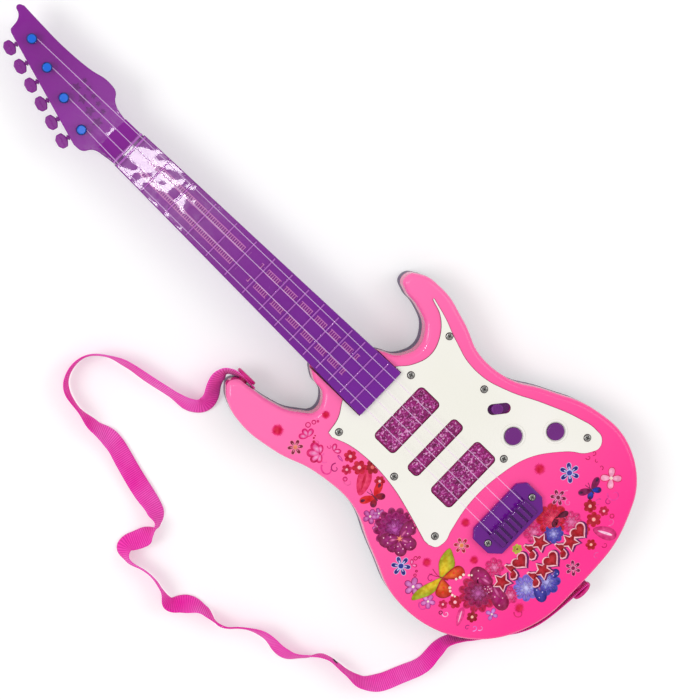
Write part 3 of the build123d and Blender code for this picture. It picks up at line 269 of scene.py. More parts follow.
class Shade:
    """A material's node tree, with short calls to add and join nodes."""

    def __init__(self, name, colour, rough=0.3, **sockets):
        self.mat = bpy.data.materials.new(name)
        self.mat.use_nodes = True
        self.tree = self.mat.node_tree
        self.out = self.tree.nodes["Principled BSDF"]
        self.out.inputs["Base Color"].default_value = colour
        self.out.inputs["Roughness"].default_value = rough
        for socket, value in sockets.items():
            self.out.inputs[socket.replace("_", " ")].default_value = value
        place = self.tree.nodes.new("ShaderNodeTexCoord")
        self.place = place.outputs["Object"]
        self.uv = place.outputs["UV"]
        self.bumps = None

    def add(self, kind, *links, **values):
        made = self.tree.nodes.new("ShaderNode" + kind)
        for key, value in values.items():
            if hasattr(made, key):
                setattr(made, key, value)
            else:
                made.inputs[key.replace("_", " ")].default_value = value
        for i, source in enumerate(links):
            if source is None:
                continue
            if isinstance(source, (int, float, tuple)):
                made.inputs[i].default_value = source
            else:
                self.tree.links.new(source, made.inputs[i])
        return made

    def math(self, operation, a, b=0.0, c=0.0):
        return self.add("Math", a, b, c, operation=operation).outputs[0]

    def noise(self, scale, detail=2.0, source=None, distort=0.0):
        made = self.add("TexNoise", Scale=scale, Detail=detail, Distortion=distort)
        self.tree.links.new(source or self.place, made.inputs["Vector"])
        return made.outputs["Fac"]

    def ramp(self, value, low, high, to_low=0.0, to_high=1.0):
        made = self.add("MapRange", value, low, high, to_low, to_high, clamp=True)
        return made.outputs["Result"]

    def distance(self, a, b):
        return self.math("ABSOLUTE", self.math("SUBTRACT", a, b))

    def band(self, value, low, high, soft, fade=None):
        """One between low and high and nothing outside, with soft edges inside the two limits."""
        rise = self.ramp(value, low, low + soft)
        return self.math("MULTIPLY", rise, self.ramp(value, high - (fade or soft), high, 1, 0))

    def tint(self, base, mask, share, colour):
        """The base with a share of the colour laid over it where the mask is one."""
        return self.mix(self.math("MULTIPLY", mask, share), base, colour)

    def mix(self, share, a, b):
        made = self.add("Mix", data_type="RGBA")
        for socket, value in ((0, share), (6, a), (7, b)):
            if isinstance(value, (int, float, tuple)):
                made.inputs[socket].default_value = value
            else:
                self.tree.links.new(value, made.inputs[socket])
        return made.outputs[2]

    def feed(self, socket, source):
        self.tree.links.new(source, self.out.inputs[socket])

    def bump(self, height, strength=0.3, distance=0.0002):
        made = self.add("Bump", Strength=strength, Distance=distance)
        self.tree.links.new(height, made.inputs["Height"])
        if self.bumps is not None:
            self.tree.links.new(self.bumps, made.inputs["Normal"])
        self.bumps = made.outputs["Normal"]
        self.feed("Normal", self.bumps)

    def moulded(self, rough, colour=None, spread=0.06):
        """The look of injection moulded plastic: faint flow marks, orange peel and fine rubs."""
        flow = self.noise(14, 3)
        peel = self.noise(700, 2)
        rubs = self.noise(90, 4, distort=1.5)
        self.feed("Roughness", self.ramp(rubs, 0.3, 0.75, rough - 0.04, rough + 0.08))
        self.bump(peel, 0.10, 0.00006)
        if colour is not None:
            darker = tuple(c * (1 - 2 * spread) for c in colour[:3]) + (1.0,)
            lighter = tuple(min(1.0, c * (1 + spread)) for c in colour[:3]) + (1.0,)
            self.feed("Base Color", self.mix(self.ramp(flow, 0.3, 0.7), darker, lighter))
        return self


GLOSS = {"Coat_Weight": 0.2, "Coat_Roughness": 0.08, "Specular_IOR_Level": 0.25}


def plastic(name, colour, rough=0.22, **sockets):
    return Shade(name, colour, rough, **{**GLOSS, **sockets}).moulded(rough, colour).mat


def painted_light_by_height(name, colour, rough, low, high, deep, light, **sockets):
    """Plastic with painted light and shade: it turns from the deep to the light colour between two
    heights.
    """
    shade = Shade(name, linear(*colour), rough, **{**GLOSS, **sockets}).moulded(rough)
    height = shade.ramp(axis_of(shade)[2], low, high)
    shade.feed("Base Color", shade.mix(height, linear(*deep), linear(*light)))
    return shade.mat


def axis_of(shade, source=None):
    made = shade.add("SeparateXYZ", source or shade.place)
    return made.outputs[0], made.outputs[1], made.outputs[2]


def webbing_material():
    colour = linear(244, 44, 172)
    shade = Shade("webbing", colour, 0.75, Sheen_Weight=0.15, Sheen_Roughness=0.45,
                  Specular_IOR_Level=0.1)
    along, across, _ = axis_of(shade, shade.uv)
    rib = shade.math("COSINE", shade.math("MULTIPLY", along, 2 * math.pi / RIB_PITCH))
    thread = shade.math("COSINE", shade.math("MULTIPLY", across, 2 * math.pi / THREAD_PITCH))
    patch = shade.noise(22, 3)
    # Painted shade in the troughs of the ribs and threads, lighter on their crests.
    lit = shade.ramp(shade.math("ADD", rib, shade.math("MULTIPLY", thread, 0.35)), -1.2, 1.1)
    tone = shade.mix(shade.ramp(patch, 0.35, 0.65), linear(248, 44, 178), linear(255, 112, 212))
    shade.feed("Base Color", shade.mix(lit, shade.mix(0.7, tone, linear(196, 0, 128)), tone))
    shade.bump(thread, 0.35, 0.00008)
    shade.bump(shade.noise(2500, 3), 0.3, 0.00005)
    return shade.mat


PINK_FADE = (-0.07, 0.2)        # y where the front is deepest and where it is palest
WALL_TOP = (0.0331, 0.0345)     # z where the walls turn into the front


def body_pink():
    """Pink that deepens from the horns to the tail, with painted shade on the walls."""
    shade = Shade("pink_front", linear(250, 60, 155), 0.2, Coat_Weight=0.3, Coat_Roughness=0.06,
                  Specular_IOR_Level=0.3).moulded(0.2)
    _, y, z = axis_of(shade)
    slope = shade.ramp(y, *PINK_FADE)
    face = shade.mix(slope, linear(255, 40, 142), linear(255, 108, 174))
    # Painted shade: the walls below the front's rounded edge are darker.
    wall_shade = shade.ramp(z, *WALL_TOP)
    shade.feed("Base Color", shade.mix(wall_shade, linear(222, 44, 130), face))
    return shade.mat


def screw_metal(name="screw_steel", top=None):
    """Steel; heads whose top height is given get painted shade in the cross and round the rim."""
    shade = Shade(name, (0.4, 0.39, 0.37, 1), 0.24, Metallic=1.0)
    stains = shade.noise(900, 3)
    shade.feed("Roughness", shade.ramp(stains, 0.3, 0.8, 0.16, 0.42))
    steel = shade.mix(shade.ramp(stains, 0.45, 0.7), (0.42, 0.41, 0.39, 1), (0.16, 0.155, 0.15, 1))
    if top is not None:
        # Painted shade: the cross recess and the rim of the head, below its top, go dark.
        height = shade.ramp(axis_of(shade)[2], top - 0.62 * MM, top - 0.16 * MM)
        steel = shade.mix(height, (0.015, 0.015, 0.015, 1), steel)
    shade.feed("Base Color", steel)
    return shade.mat


RIM_INSET = 2.6 * MM            # from a window's outer edge to the end of its rim


def window_glitter(name):
    """Magenta window with a crazed foil behind it, painted glints on some of its flakes and a darker
    rim.
    """
    low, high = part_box(name)
    shade = Shade("glitter_" + name, linear(146, 20, 104), 0.16, Coat_Weight=0.35,
                  Coat_Roughness=0.05, Specular_IOR_Level=0.2)
    x, y, _ = axis_of(shade)
    mid_y = (low[1] + high[1]) / 2
    half = ((high[0] - low[0]) / 2 - RIM_INSET, (high[1] - low[1]) / 2 - RIM_INSET)
    over_x = shade.math("SUBTRACT", shade.math("ABSOLUTE", x), half[0])
    over_y = shade.math("SUBTRACT", shade.distance(y, mid_y), half[1])
    rim = shade.ramp(shade.math("MAXIMUM", over_x, over_y), -2.0 * MM, -1.2 * MM)
    warp = shade.add("TexNoise", Scale=260, Detail=2)
    shade.tree.links.new(shade.place, warp.inputs["Vector"])
    bent = shade.add("MixRGB", 0.0035, shade.place, warp.outputs["Color"], blend_type="ADD")
    cracks = shade.add("TexVoronoi", Scale=430, feature="DISTANCE_TO_EDGE")
    shade.tree.links.new(bent.outputs[0], cracks.inputs["Vector"])
    flakes = shade.add("TexVoronoi", Scale=800)
    shade.tree.links.new(bent.outputs[0], flakes.inputs["Vector"])
    pick = shade.add("SeparateColor", flakes.outputs["Color"])
    broken = shade.ramp(shade.noise(420, 2), 0.46, 0.6)
    line = shade.ramp(cracks.outputs["Distance"], 0.02, 0.12, 1.0, 0.0)
    veins = shade.math("MULTIPLY", line, broken)
    # Painted glints: a few of the foil's flakes are tinted pale.
    flake_glint = shade.ramp(pick.outputs[0], 0.9, 0.93)
    patches = shade.mix(shade.ramp(shade.noise(330, 2), 0.35, 0.62), linear(96, 0, 66),
                        linear(152, 12, 112))
    tinted = shade.tint(patches, veins, 0.75, linear(236, 130, 214))
    foil = shade.tint(tinted, flake_glint, 0.5, linear(255, 190, 236))
    shade.feed("Base Color", shade.mix(rim, foil, linear(130, 0, 86)))
    shade.bump(cracks.outputs["Distance"], 0.25, 0.0001)
    return shade.mat


# Places on the neck in metres: a pair is where a tint starts and where it is full.
NUT_Y = 0.4455
SCALE_LENGTH = 0.5
NUT_GAP = (0.4463, 0.4486)  # y of the dark gap between the two nut bars
STRIP_SPANS = ((0.1895, 0.3045), (0.3165, 0.4295))
STRIP_RUN = (0.19, 0.429)
STRIP_MIDDLES = (0.0086, 0.006)  # x of a strip's middle at the two ends of that run
STRIP_SIDE = (0.0024, 0.0028)  # out from a strip's middle
STRIP_BORDER = (0.0017, 0.0021)
STRIP_TOP = (0.0418, 0.0428)
RIB_STEP = 0.0021
FRET_BREAK = (0.13, 0.15)  # how near a fret the strips stop, in frets
WHOLE_BELOW_FRET = (4.4, 4.5)  # nearer to the nut than this, the strips run on
FRET_SIDE = (0.04303, 0.0437)
FRET_CREST = (0.0436, 0.0438)
HEEL_DEEPENS = (0.2, 0.38)
ORNAMENT_FACE = (0.0396, 0.0399)
HEADSTOCK_FROM = (0.4695, 0.4705)


def light_strips(shade, x, y, z):
    """Where the light strips show, with the outline that is brighter than their ribs."""
    middle = shade.ramp(shade.ramp(y, *STRIP_RUN), 0, 1, *STRIP_MIDDLES)
    off = shade.distance(shade.math("ABSOLUTE", x), middle)
    spans = shade.math("ADD", *[shade.band(y, *span, 0.001) for span in STRIP_SPANS])
    inside = shade.math("MULTIPLY", shade.ramp(off, *STRIP_SIDE, 1, 0), spans)
    strip = shade.math("MULTIPLY", inside, shade.ramp(z, *STRIP_TOP))
    fret = shade.math("DIVIDE", shade.math("ADD", y, SCALE_LENGTH - NUT_Y), SCALE_LENGTH)
    fret = shade.math("MULTIPLY", shade.math("LOGARITHM", fret, 2.0), -12.0)
    nearest = shade.distance(fret, shade.math("ROUND", fret))
    clear = shade.math("MAXIMUM", shade.ramp(nearest, *FRET_BREAK),
                       shade.ramp(fret, *WHOLE_BELOW_FRET, 1, 0))
    return shade.math("MULTIPLY", strip, clear), shade.ramp(off, *STRIP_BORDER)


def neck_purple():
    """Translucent purple with the ribbed light strips showing through the fretboard, painted shade on
    the headstock ornament, the fret sides and the nut gap, and painted highlights on the fret crests.
    """
    shade = Shade("neck_purple", linear(132, 40, 132), 0.2, Coat_Weight=0.32,
                  Coat_Roughness=0.03, Specular_IOR_Level=0.2).moulded(0.2)
    ripple = shade.add("Bump", Strength=1.0, Distance=0.00052)
    shade.tree.links.new(shade.noise(48, 0.6), ripple.inputs["Height"])
    shade.feed("Coat Normal", ripple.outputs["Normal"])
    x, y, z = axis_of(shade)
    strip, border = light_strips(shade, x, y, z)
    rib = shade.math("COSINE", shade.math("MULTIPLY", y, 2 * math.pi / RIB_STEP))
    ribs = shade.ramp(shade.math("ADD", rib, shade.noise(900, 2)), 0.9, 1.5)
    glow = shade.mix(ribs, linear(122, 24, 124), linear(214, 134, 186))
    glow = shade.tint(glow, border, 0.8, linear(214, 128, 190))
    base = shade.mix(shade.ramp(shade.noise(10, 3), 0.3, 0.7), linear(118, 12, 128),
                     linear(132, 18, 146))
    base = shade.mix(shade.ramp(y, *HEEL_DEEPENS, 0.5, 0.0), base, linear(92, 20, 148))
    # Painted shade on the raised face of the headstock ornament.
    ornament_shade = shade.math("MULTIPLY", shade.ramp(z, *ORNAMENT_FACE), shade.ramp(y, *HEADSTOCK_FROM))
    base = shade.tint(base, ornament_shade, 0.6, linear(78, 0, 86))
    base = shade.tint(base, strip, 0.75, glow)
    # Painted shade on the sides of the frets.
    side = shade.band(z, *FRET_SIDE, soft=0.00007, fade=0.0002)
    base = shade.tint(base, side, 0.8, linear(66, 0, 76))
    # Painted shade in the gap between the two nut bars.
    base = shade.tint(base, shade.band(y, *NUT_GAP, 0.0003), 0.6, linear(96, 0, 110))
    # Painted highlight on the crests of the frets.
    fret_crest_highlight = shade.ramp(z, *FRET_CREST)
    shade.feed("Base Color", shade.tint(base, fret_crest_highlight, 0.45, linear(206, 120, 216)))
    return shade.mat


GUARD_EDGE = (0.03872, 0.03888)  # z where the guard's cut edge turns into its face


def cream_guard():
    """Cream plastic whose cut edge, below the face, gets painted shade."""
    cream = linear(243, 240, 234)
    shade = Shade("cream_guard", cream, 0.16, **GLOSS).moulded(0.16)
    face = shade.ramp(axis_of(shade)[2], *GUARD_EDGE)
    tint = shade.mix(shade.ramp(shade.noise(9, 3), 0.3, 0.7), cream, linear(238, 236, 226))
    # Painted shade on the cut edge, standing in for the shade in the gap round the guard.
    shade.feed("Base Color", shade.mix(face, linear(112, 26, 72), tint))
    return shade.mat


def bridge_purple():
    """Purple with painted light in the dips between the ribs, where less light falls."""
    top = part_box("bridge")[1][2]
    return painted_light_by_height("bridge_purple", (96, 14, 122), 0.18, top - 5.4 * MM, top - 1.0 * MM,
                     (112, 14, 146), (92, 10, 118), Coat_Weight=0.3, Coat_Roughness=0.06)


def post_blue():
    """Blue posts with painted light: bright on the flat of the cap, with painted shade on its slanted
    edge and stem.
    """
    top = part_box("string_post_1")[1][2]
    return painted_light_by_height("post_blue", (2, 84, 200), 0.14, top - 0.6 * MM, top - 0.05 * MM,
                     (0, 34, 112), (0, 100, 214))


CELL_HALF = 7.6 * MM            # across the middle cell, from its axis
COPPER_BAND = 15.0 * MM         # from a cell's positive end
CELL_CAP = 2.0 * MM


def cell_jacket():
    """Dark sleeves with a copper band at the positive end, turned round on the middle cell."""
    low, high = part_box("batteries")
    reach = high[0]
    shade = Shade("cell_jacket", linear(46, 46, 52), 0.3).moulded(0.3)
    x, y, _ = axis_of(shade)
    off = shade.distance(y, (low[1] + high[1]) / 2)
    along = shade.math("MULTIPLY", x, shade.ramp(off, CELL_HALF, CELL_HALF + 0.1 * MM, -1, 1))
    copper = shade.ramp(along, reach - COPPER_BAND, reach - COPPER_BAND + 0.2 * MM)
    sleeve = shade.mix(copper, linear(40, 40, 48), linear(196, 120, 62))
    steel = shade.ramp(along, reach - CELL_CAP, reach - CELL_CAP + 0.2 * MM)
    shade.feed("Base Color", shade.mix(steel, sleeve, linear(186, 184, 178)))
    return shade.mat


def clear_line():
    shade = Shade("clear_line", linear(250, 216, 255), 0.12, Alpha=0.29, Specular_IOR_Level=0.2)
    shade.feed("Roughness", shade.ramp(shade.noise(400, 2), 0.3, 0.7, 0.08, 0.2))
    return shade.mat


def paint(names, mat):
    for name in names:
        mesh = nodes[name].data
        mesh.materials.clear()
        mesh.materials.append(mat)


def named(start):
    return [name for name in nodes if name.startswith(start)]


def make_materials():
    paint(["front_shell"], body_pink())
    paint(["rear_shell", "battery_door"], plastic("rear_plum", linear(84, 58, 98), 0.4, Coat_Weight=0.0))
    paint(["pickguard"], cream_guard())
    paint(["neck_front", "neck_back"], neck_purple())
    paint(named("tuning_key"), plastic("key_purple", linear(132, 30, 140), 0.24))
    paint(["button_melody", "button_demo", "switch_slider"],
          plastic("button_purple", linear(110, 31, 124), 0.26))
    paint(["bridge"], bridge_purple())
    for name in named("pickup_lens"):
        paint([name], window_glitter(name))
    paint(named("string_post"), post_blue())
    strings = [name for name in named("string_") if "post" not in name]
    paint(strings, clear_line())
    screws = [name for name in nodes if "screw" in name]
    paint(screws, screw_metal())
    for name in ("pickguard_screws", "bridge_screws"):
        paint([name], screw_metal("steel_" + name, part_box(name)[1][2]))
    paint(["strap_rivet"], plastic("rivet_dark", linear(60, 52, 56), 0.3, Metallic=0.8))
    paint(["strap_peg_horn", "strap_peg_tail"], plastic("peg_pink", linear(206, 26, 126), 0.26))
    paint(["batteries"], cell_jacket())
    paint(["battery_contact_plates", "battery_contact_springs"],
          plastic("nickel", linear(200, 196, 186), 0.3, Metallic=1.0))
    paint(["speaker_frame", "speaker_magnet"], plastic("zinc", linear(150, 150, 154), 0.4,
                                                      Metallic=1.0))
    paint(["speaker_cone"], plastic("cone_paper", linear(52, 48, 46), 0.8, Coat_Weight=0.0))
    paint(["main_board", "pickup_light_boards", "neck_light_board"],
          plastic("board_green", linear(36, 98, 60), 0.4))
    paint(["pickup_leds", "neck_leds"], plastic("led_clear", linear(236, 236, 240), 0.1))
    paint(["tact_switches", "main_board_parts", "switch_body", "switch_actuator"],
          plastic("dark_parts", linear(40, 40, 42), 0.5))
    paint(["battery_leads", "speaker_leads", "neck_light_lead"],
          plastic("lead_red", linear(180, 30, 36), 0.5))
    paint(named("light_pipes"), plastic("pipe_clear", linear(226, 214, 236), 0.15))


# ================= printed flowers on the front =================
INK_LIFT = 0.03         # the lowest ink stands this far over the plastic, in millimetres
INK_STEP = 0.014        # each ink printed over another adds this
INK_NUDGE = 0.0023      # neighbours on one level differ by up to five of these
INK_CYCLE = 6
RING_WIDTH = 2.5        # the widest ring of faces in a filled shape
ABOVE = 60              # height from which a vertex is dropped onto the shell

CRIMSON = (220, 0, 58)
WINE = (128, 6, 52)
BLUSH = (252, 190, 206)
PEACH = (246, 150, 110)
NAVY = (30, 34, 128)
ROSE = (232, 20, 120)
PALE = (250, 170, 214)
IVORY = (255, 236, 214)


class Ink:
    """Flat coloured shapes stacked on the printed front, in millimetres seen from the front."""

    def __init__(self):
        self.verts = []
        self.faces = []
        self.colours = []
        self.level = 0
        self.count = 0
        shell = nodes["front_shell"].data
        corners = [vertex.co for vertex in shell.vertices]
        self.shell = BVHTree.FromPolygons(corners, [face.vertices for face in shell.polygons])

    def put(self, x, y, colour):
        """One vertex on the shell's surface, lifted by the current level."""
        start = Vector((x, y, ABOVE)) * MM
        place = self.shell.ray_cast(start, Vector((0, 0, -1)))[0]
        lift = (INK_LIFT + INK_STEP * self.level + INK_NUDGE * (self.count % INK_CYCLE)) * MM
        height = place.z if place else 0.03
        self.verts.append((x * MM, y * MM, height + lift))
        self.colours.append(linear(*colour))
        return len(self.verts) - 1

    def fill(self, outline, inner, rim=None, hub=None):
        """A filled shape whose colour runs from inner at the hub to rim at the outline."""
        rim = rim or inner
        count = len(outline)
        if sum(a[0] * b[1] - b[0] * a[1] for a, b in zip(outline, outline[1:] + outline[:1])) < 0:
            outline = outline[::-1]
        if hub is None:
            hub = (sum(p[0] for p in outline) / count, sum(p[1] for p in outline) / count)
        size = max(math.dist(hub, p) for p in outline)
        rings = max(2, math.ceil(size / RING_WIDTH))
        centre = self.put(*hub, inner)
        before = None
        for r in range(1, rings + 1):
            t = r / rings
            shade = tuple(a + (b - a) * t ** 1.5 for a, b in zip(inner, rim))
            row = [self.put(hub[0] + (x - hub[0]) * t, hub[1] + (y - hub[1]) * t, shade)
                   for x, y in outline]
            for k in range(count):
                n = (k + 1) % count
                if before is None:
                    self.faces.append((centre, row[k], row[n]))
                else:
                    self.faces.append((before[k], row[k], row[n], before[n]))
            before = row
        self.level += 1
        self.count += 1

    def stroke(self, line, width, colour, taper=0.0, closed=False):
        """A line of ink; taper is how much of its width is lost at its end."""
        rows = []
        last = len(line) - 1
        for i, (x, y) in enumerate(line):
            a = line[i - 1] if i or closed else line[0]
            b = line[(i + 1) % len(line)] if i < last or closed else line[last]
            dx, dy = b[0] - a[0], b[1] - a[1]
            far = math.hypot(dx, dy) or 1.0
            half = width / 2 * (1 - taper * i / last)
            rows.append((self.put(x - dy / far * half, y + dx / far * half, colour),
                         self.put(x + dy / far * half, y - dx / far * half, colour)))
        for i in range(last + 1 if closed else last):
            a, b = rows[i], rows[(i + 1) % len(rows)]
            self.faces.append((a[0], a[1], b[1], b[0]))
        self.level += 1
        self.count += 1


def circle(x, y, radius, count=18):
    step = 2 * math.pi / count
    return [(x + radius * math.cos(step * k), y + radius * math.sin(step * k)) for k in range(count)]


def lobes(x, y, reach, count, depth=0.24, turn=90.0):
    """A flower's outline with rounded petals."""
    points = []
    for k in range(count * 8):
        angle = 2 * math.pi * k / (count * 8)
        r = reach * (1 - depth + depth * abs(math.cos(count * angle / 2)) ** 0.7)
        angle += math.radians(turn)
        points.append((x + r * math.cos(angle), y + r * math.sin(angle)))
    return points


def petal(x, y, turn, length, width, start=0.0):
    """A drop-shaped petal that grows from (x, y) in the direction of turn, in degrees."""
    c, s = math.cos(math.radians(turn)), math.sin(math.radians(turn))
    points = []
    for k in range(20):
        a = 2 * math.pi * k / 20
        far = (1 - math.cos(a)) / 2
        along = start + far * length
        across = math.sin(a) * width / 2 * (0.6 + 0.4 * far)
        points.append((x + along * c - across * s, y + along * s + across * c))
    return points


def blob(corners, per=6):
    """A smooth closed outline through the given corners."""
    points = []
    n = len(corners)
    for i in range(n):
        p0, p1, p2, p3 = (corners[(i + k - 1) % n] for k in range(4))
        for k in range(per):
            t = k / per
            w = (-0.5 * t ** 3 + t ** 2 - 0.5 * t, 1.5 * t ** 3 - 2.5 * t ** 2 + 1,
                 -1.5 * t ** 3 + 2 * t ** 2 + 0.5 * t, 0.5 * t ** 3 - 0.5 * t ** 2)
            points.append(tuple(w[0] * a + w[1] * b + w[2] * c + w[3] * d
                                for a, b, c, d in zip(p0, p1, p2, p3)))
    return points


def grown(outline, by):
    """The outline moved outwards by about the given distance."""
    cx = sum(p[0] for p in outline) / len(outline)
    cy = sum(p[1] for p in outline) / len(outline)
    points = []
    for x, y in outline:
        far = math.hypot(x - cx, y - cy) or 1.0
        points.append((x + (x - cx) / far * by, y + (y - cy) / far * by))
    return points


def curl(x, y, radius, first, turns, shrink=0.8, count=30):
    """A spiral line that winds in from the given radius."""
    points = []
    for k in range(count + 1):
        t = k / count
        r = radius * (1 - shrink * t)
        angle = math.radians(first) + 2 * math.pi * turns * t
        points.append((x + r * math.cos(angle), y + r * math.sin(angle)))
    return points


def burst(ink, x, y, radius):
    """A crimson puff with a ragged edge."""
    ink.level = 2
    points = []
    for k in range(44):
        r = radius * (1.12 if k % 2 else 0.84) * random.uniform(0.92, 1.08)
        angle = 2 * math.pi * k / 44
        points.append((x + r * math.cos(angle), y + r * math.sin(angle)))
    ink.fill(points, (222, 0, 66), (244, 40, 132))
    ink.fill(circle(x, y, radius * 0.72), (214, 0, 58), (226, 0, 84))


def small_flower(ink, x, y, radius, colour=CRIMSON, heart=BLUSH, petals=6, level=6):
    ink.level = level
    turn = random.uniform(0, 60)
    darker = tuple(0.8 * c for c in colour)
    ink.fill(lobes(x, y, radius, petals, 0.3, turn), darker, colour)
    for k in range(petals):
        angle = turn + 360 * (k + 0.5) / petals
        ink.fill(petal(x, y, angle, radius * 0.5, radius * 0.09, radius * 0.22), darker)
        ink.level -= 1
    ink.level += 1
    ink.fill(circle(x, y, radius * 0.36, 14), (240, 92, 92), colour)
    ink.fill(circle(x, y, radius * 0.24, 12), heart)


def studded_flower(ink, x, y, radius, fill=WINE, edge=(246, 150, 170), heart=PEACH, petals=6):
    """Round petals with pale outlines about a pale centre."""
    ink.level = 6
    turn = random.uniform(0, 60)
    spots = [turn + 360 * k / petals for k in range(petals)]
    for grow, colour in ((0.09, edge), (0.0, fill)):
        for angle in spots:
            ink.fill(petal(x, y, angle, radius * (0.74 + grow), radius * (0.5 + 1.6 * grow),
                           radius * (0.28 - grow / 2)), colour)
            ink.level -= 1
        ink.level += 1
    for angle in spots:
        ink.fill(petal(x, y, angle, radius * 0.34, radius * 0.16, radius * 0.3), edge)
        ink.level -= 1
    ink.level += 1
    ink.fill(circle(x, y, radius * 0.36, 16), edge)
    ink.fill(circle(x, y, radius * 0.27, 14), heart)


def ghost_flower(ink, x, y, radius, turn=0.0, fill=(246, 120, 190), rim=(214, 40, 140), petals=5):
    """A faint flower of open petals with darker rims."""
    ink.level = 3
    for k in range(petals):
        angle = turn + 360 * k / petals
        ink.fill(petal(x, y, angle, radius * 1.04, radius * 0.86), rim)
        light = tuple(0.62 * c + 0.38 * 255 for c in fill)
        ink.fill(petal(x, y, angle, radius * 0.9, radius * 0.68, radius * 0.08), light, fill)
        ink.level -= 2
    ink.level += 2
    ink.fill(circle(x, y, radius * 0.16, 10), IVORY)


def heart_petals(ink, x, y, radius, turns, colour=ROSE):
    for turn in turns:
        ink.level = 4
        ink.fill(petal(x, y, turn, radius, radius * 0.78), colour)
        ink.fill(petal(x, y, turn, radius * 0.72, radius * 0.46, radius * 0.1), PALE, (244, 70, 150))


def ring(ink, x, y, radius, colour=(220, 20, 110), width=0.9, level=4):
    ink.level = level
    ink.stroke(circle(x, y, radius, 20), width, colour, closed=True)


def curls(ink, *marks):
    for x, y, radius, first, turns, colour in marks:
        ink.level = 2
        ink.stroke(curl(x, y, radius, first, turns), 0.17 * radius + 0.45, colour, 0.5)


def leaf(ink, x, y, turn, length, width, inner, rim, vein):
    ink.level = 4
    ink.fill(petal(x, y, turn, length, width), inner, rim)
    ink.fill(petal(x, y, turn, length * 0.62, width * 0.2, length * 0.2), vein)


def lily(ink, x, y, parts, level, inner, rim, dots=BLUSH):
    """Long dotted petals that grow from one point; parts are (turn, length, width)."""
    ink.level = level
    for turn, length, width in parts:
        c, s = math.cos(math.radians(turn)), math.sin(math.radians(turn))
        ink.fill(petal(x, y, turn, length, width), inner, rim, (x + 0.3 * length * c,
                                                                y + 0.3 * length * s))
        ink.fill(petal(x, y, turn + 4, length * 0.5, width * 0.26, 1.0), (238, 128, 190), rim)
        for k in range(3):
            far = length * (0.42 + 0.17 * k)
            side = 0.16 * width * (1 if k % 2 else -1)
            ink.fill(circle(x + far * c - side * s, y + far * s + side * c, 0.62, 8), dots)
            ink.level -= 1
        ink.level += 1


def beads(ink, x, y, reach, count, size, colours):
    for k in range(count):
        angle = 2 * math.pi * k / count
        bx, by = x + reach * math.cos(angle), y + reach * math.sin(angle)
        ink.fill(circle(bx, by, size, 10), colours[0])
        ink.fill(circle(bx, by, size * 0.6, 8), colours[1])
        ink.level -= 2
    ink.level += 2


def layered_flower(ink, x, y, radius, rows, level=5):
    """A full flower: scalloped rows from the outside in, each (share, petals, inner, rim)."""
    ink.level = level
    for n, (share, petals, inner, rim) in enumerate(rows):
        turn = 11 * n
        reach = radius * share
        pale = tuple(0.72 * a + 0.28 * b for a, b in zip(rim, (255, 130, 200)))
        deep = tuple(0.72 * c for c in rim)
        ink.fill(lobes(x, y, reach * 1.04, petals, 0.2, turn), pale)
        ink.fill(lobes(x, y, reach * 0.98, petals, 0.22, turn), inner, rim)
        for k in range(petals):
            angle = turn + 360 * k / petals
            ink.fill(petal(x, y, angle, reach * 0.66, 1.5 * reach / petals, reach * 0.27), inner, deep)
            ink.fill(petal(x, y, angle + 180 / petals, reach * 0.6, 0.4 * reach / petals, reach * 0.2),
                     deep)
            ink.level -= 2
        ink.level += 2


def wing(ink, corners, inner, rim, edge, hub):
    outline = blob(corners)
    ink.fill(grown(outline, 0.55), edge)
    ink.fill(outline, inner, rim, hub)


def feelers(ink, x, y, turns, length, colour):
    for turn in turns:
        c, s = math.cos(math.radians(turn)), math.sin(math.radians(turn))
        bend = 0.22 * length * (1 if turn > 90 else -1)
        line = [(x + t * length * c + bend * t * t * s, y + t * length * s - bend * t * t * c)
                for t in (0, 0.25, 0.5, 0.75, 1)]
        ink.stroke(line, 0.45, colour)
        ink.level -= 1


def lime_butterfly(ink):
    ink.level = 8
    lime, gold, dark = (150, 176, 22), (246, 206, 24), (196, 96, 20)
    wing(ink, [(-76.5, 4), (-84, 0.5), (-92, 0.5), (-100, 4), (-107, 8.6), (-104, 11.4), (-96, 11.2),
               (-86, 8.2)], gold, lime, dark, (-80, 5))
    wing(ink, [(-76.5, 4.5), (-73, 10), (-67, 15.4), (-59, 17.4), (-53.4, 16.4), (-56, 10), (-61, 3.4),
               (-69, 3)], gold, lime, dark, (-74, 6))
    orange, red = (240, 120, 14), (190, 30, 10)
    wing(ink, [(-77, 2.6), (-83, 1.2), (-89.6, -2.6), (-88, -9), (-82, -12), (-78, -8.6), (-76.6, -3)],
         orange, red, (150, 20, 16), (-80, 0))
    wing(ink, [(-75.8, 2.6), (-69, 3), (-60, 1), (-58, -4), (-61, -8.4), (-67, -6.6), (-72, -2)],
         orange, red, (150, 20, 16), (-70, 1))
    for x, y, r in ((-84.6, -6, 1.3), (-81, -3.4, 1.1), (-66, -1, 1.2), (-62.4, -2.4, 1.1)):
        ink.fill(circle(x, y, r, 10), (236, 60, 20))
    for x, y, r in ((-77.6, -7.4, 1.3), (-79.4, -9.8, 1.2), (-80.6, -13.6, 1.1), (-80, -16, 0.9),
                    (-68.4, -6.2, 1.2), (-65, -7.8, 1.4), (-61.4, -8.2, 1.2), (-58.4, -12, 1.1),
                    (-56.8, -13.8, 0.9)):
        ink.fill(circle(x, y, r, 10), IVORY)
        ink.level -= 1
    ink.fill(petal(-77.2, 6.4, -68, 9, 1.8), (166, 20, 40))
    feelers(ink, -77, 6, (96, 128), 9, (170, 20, 80))


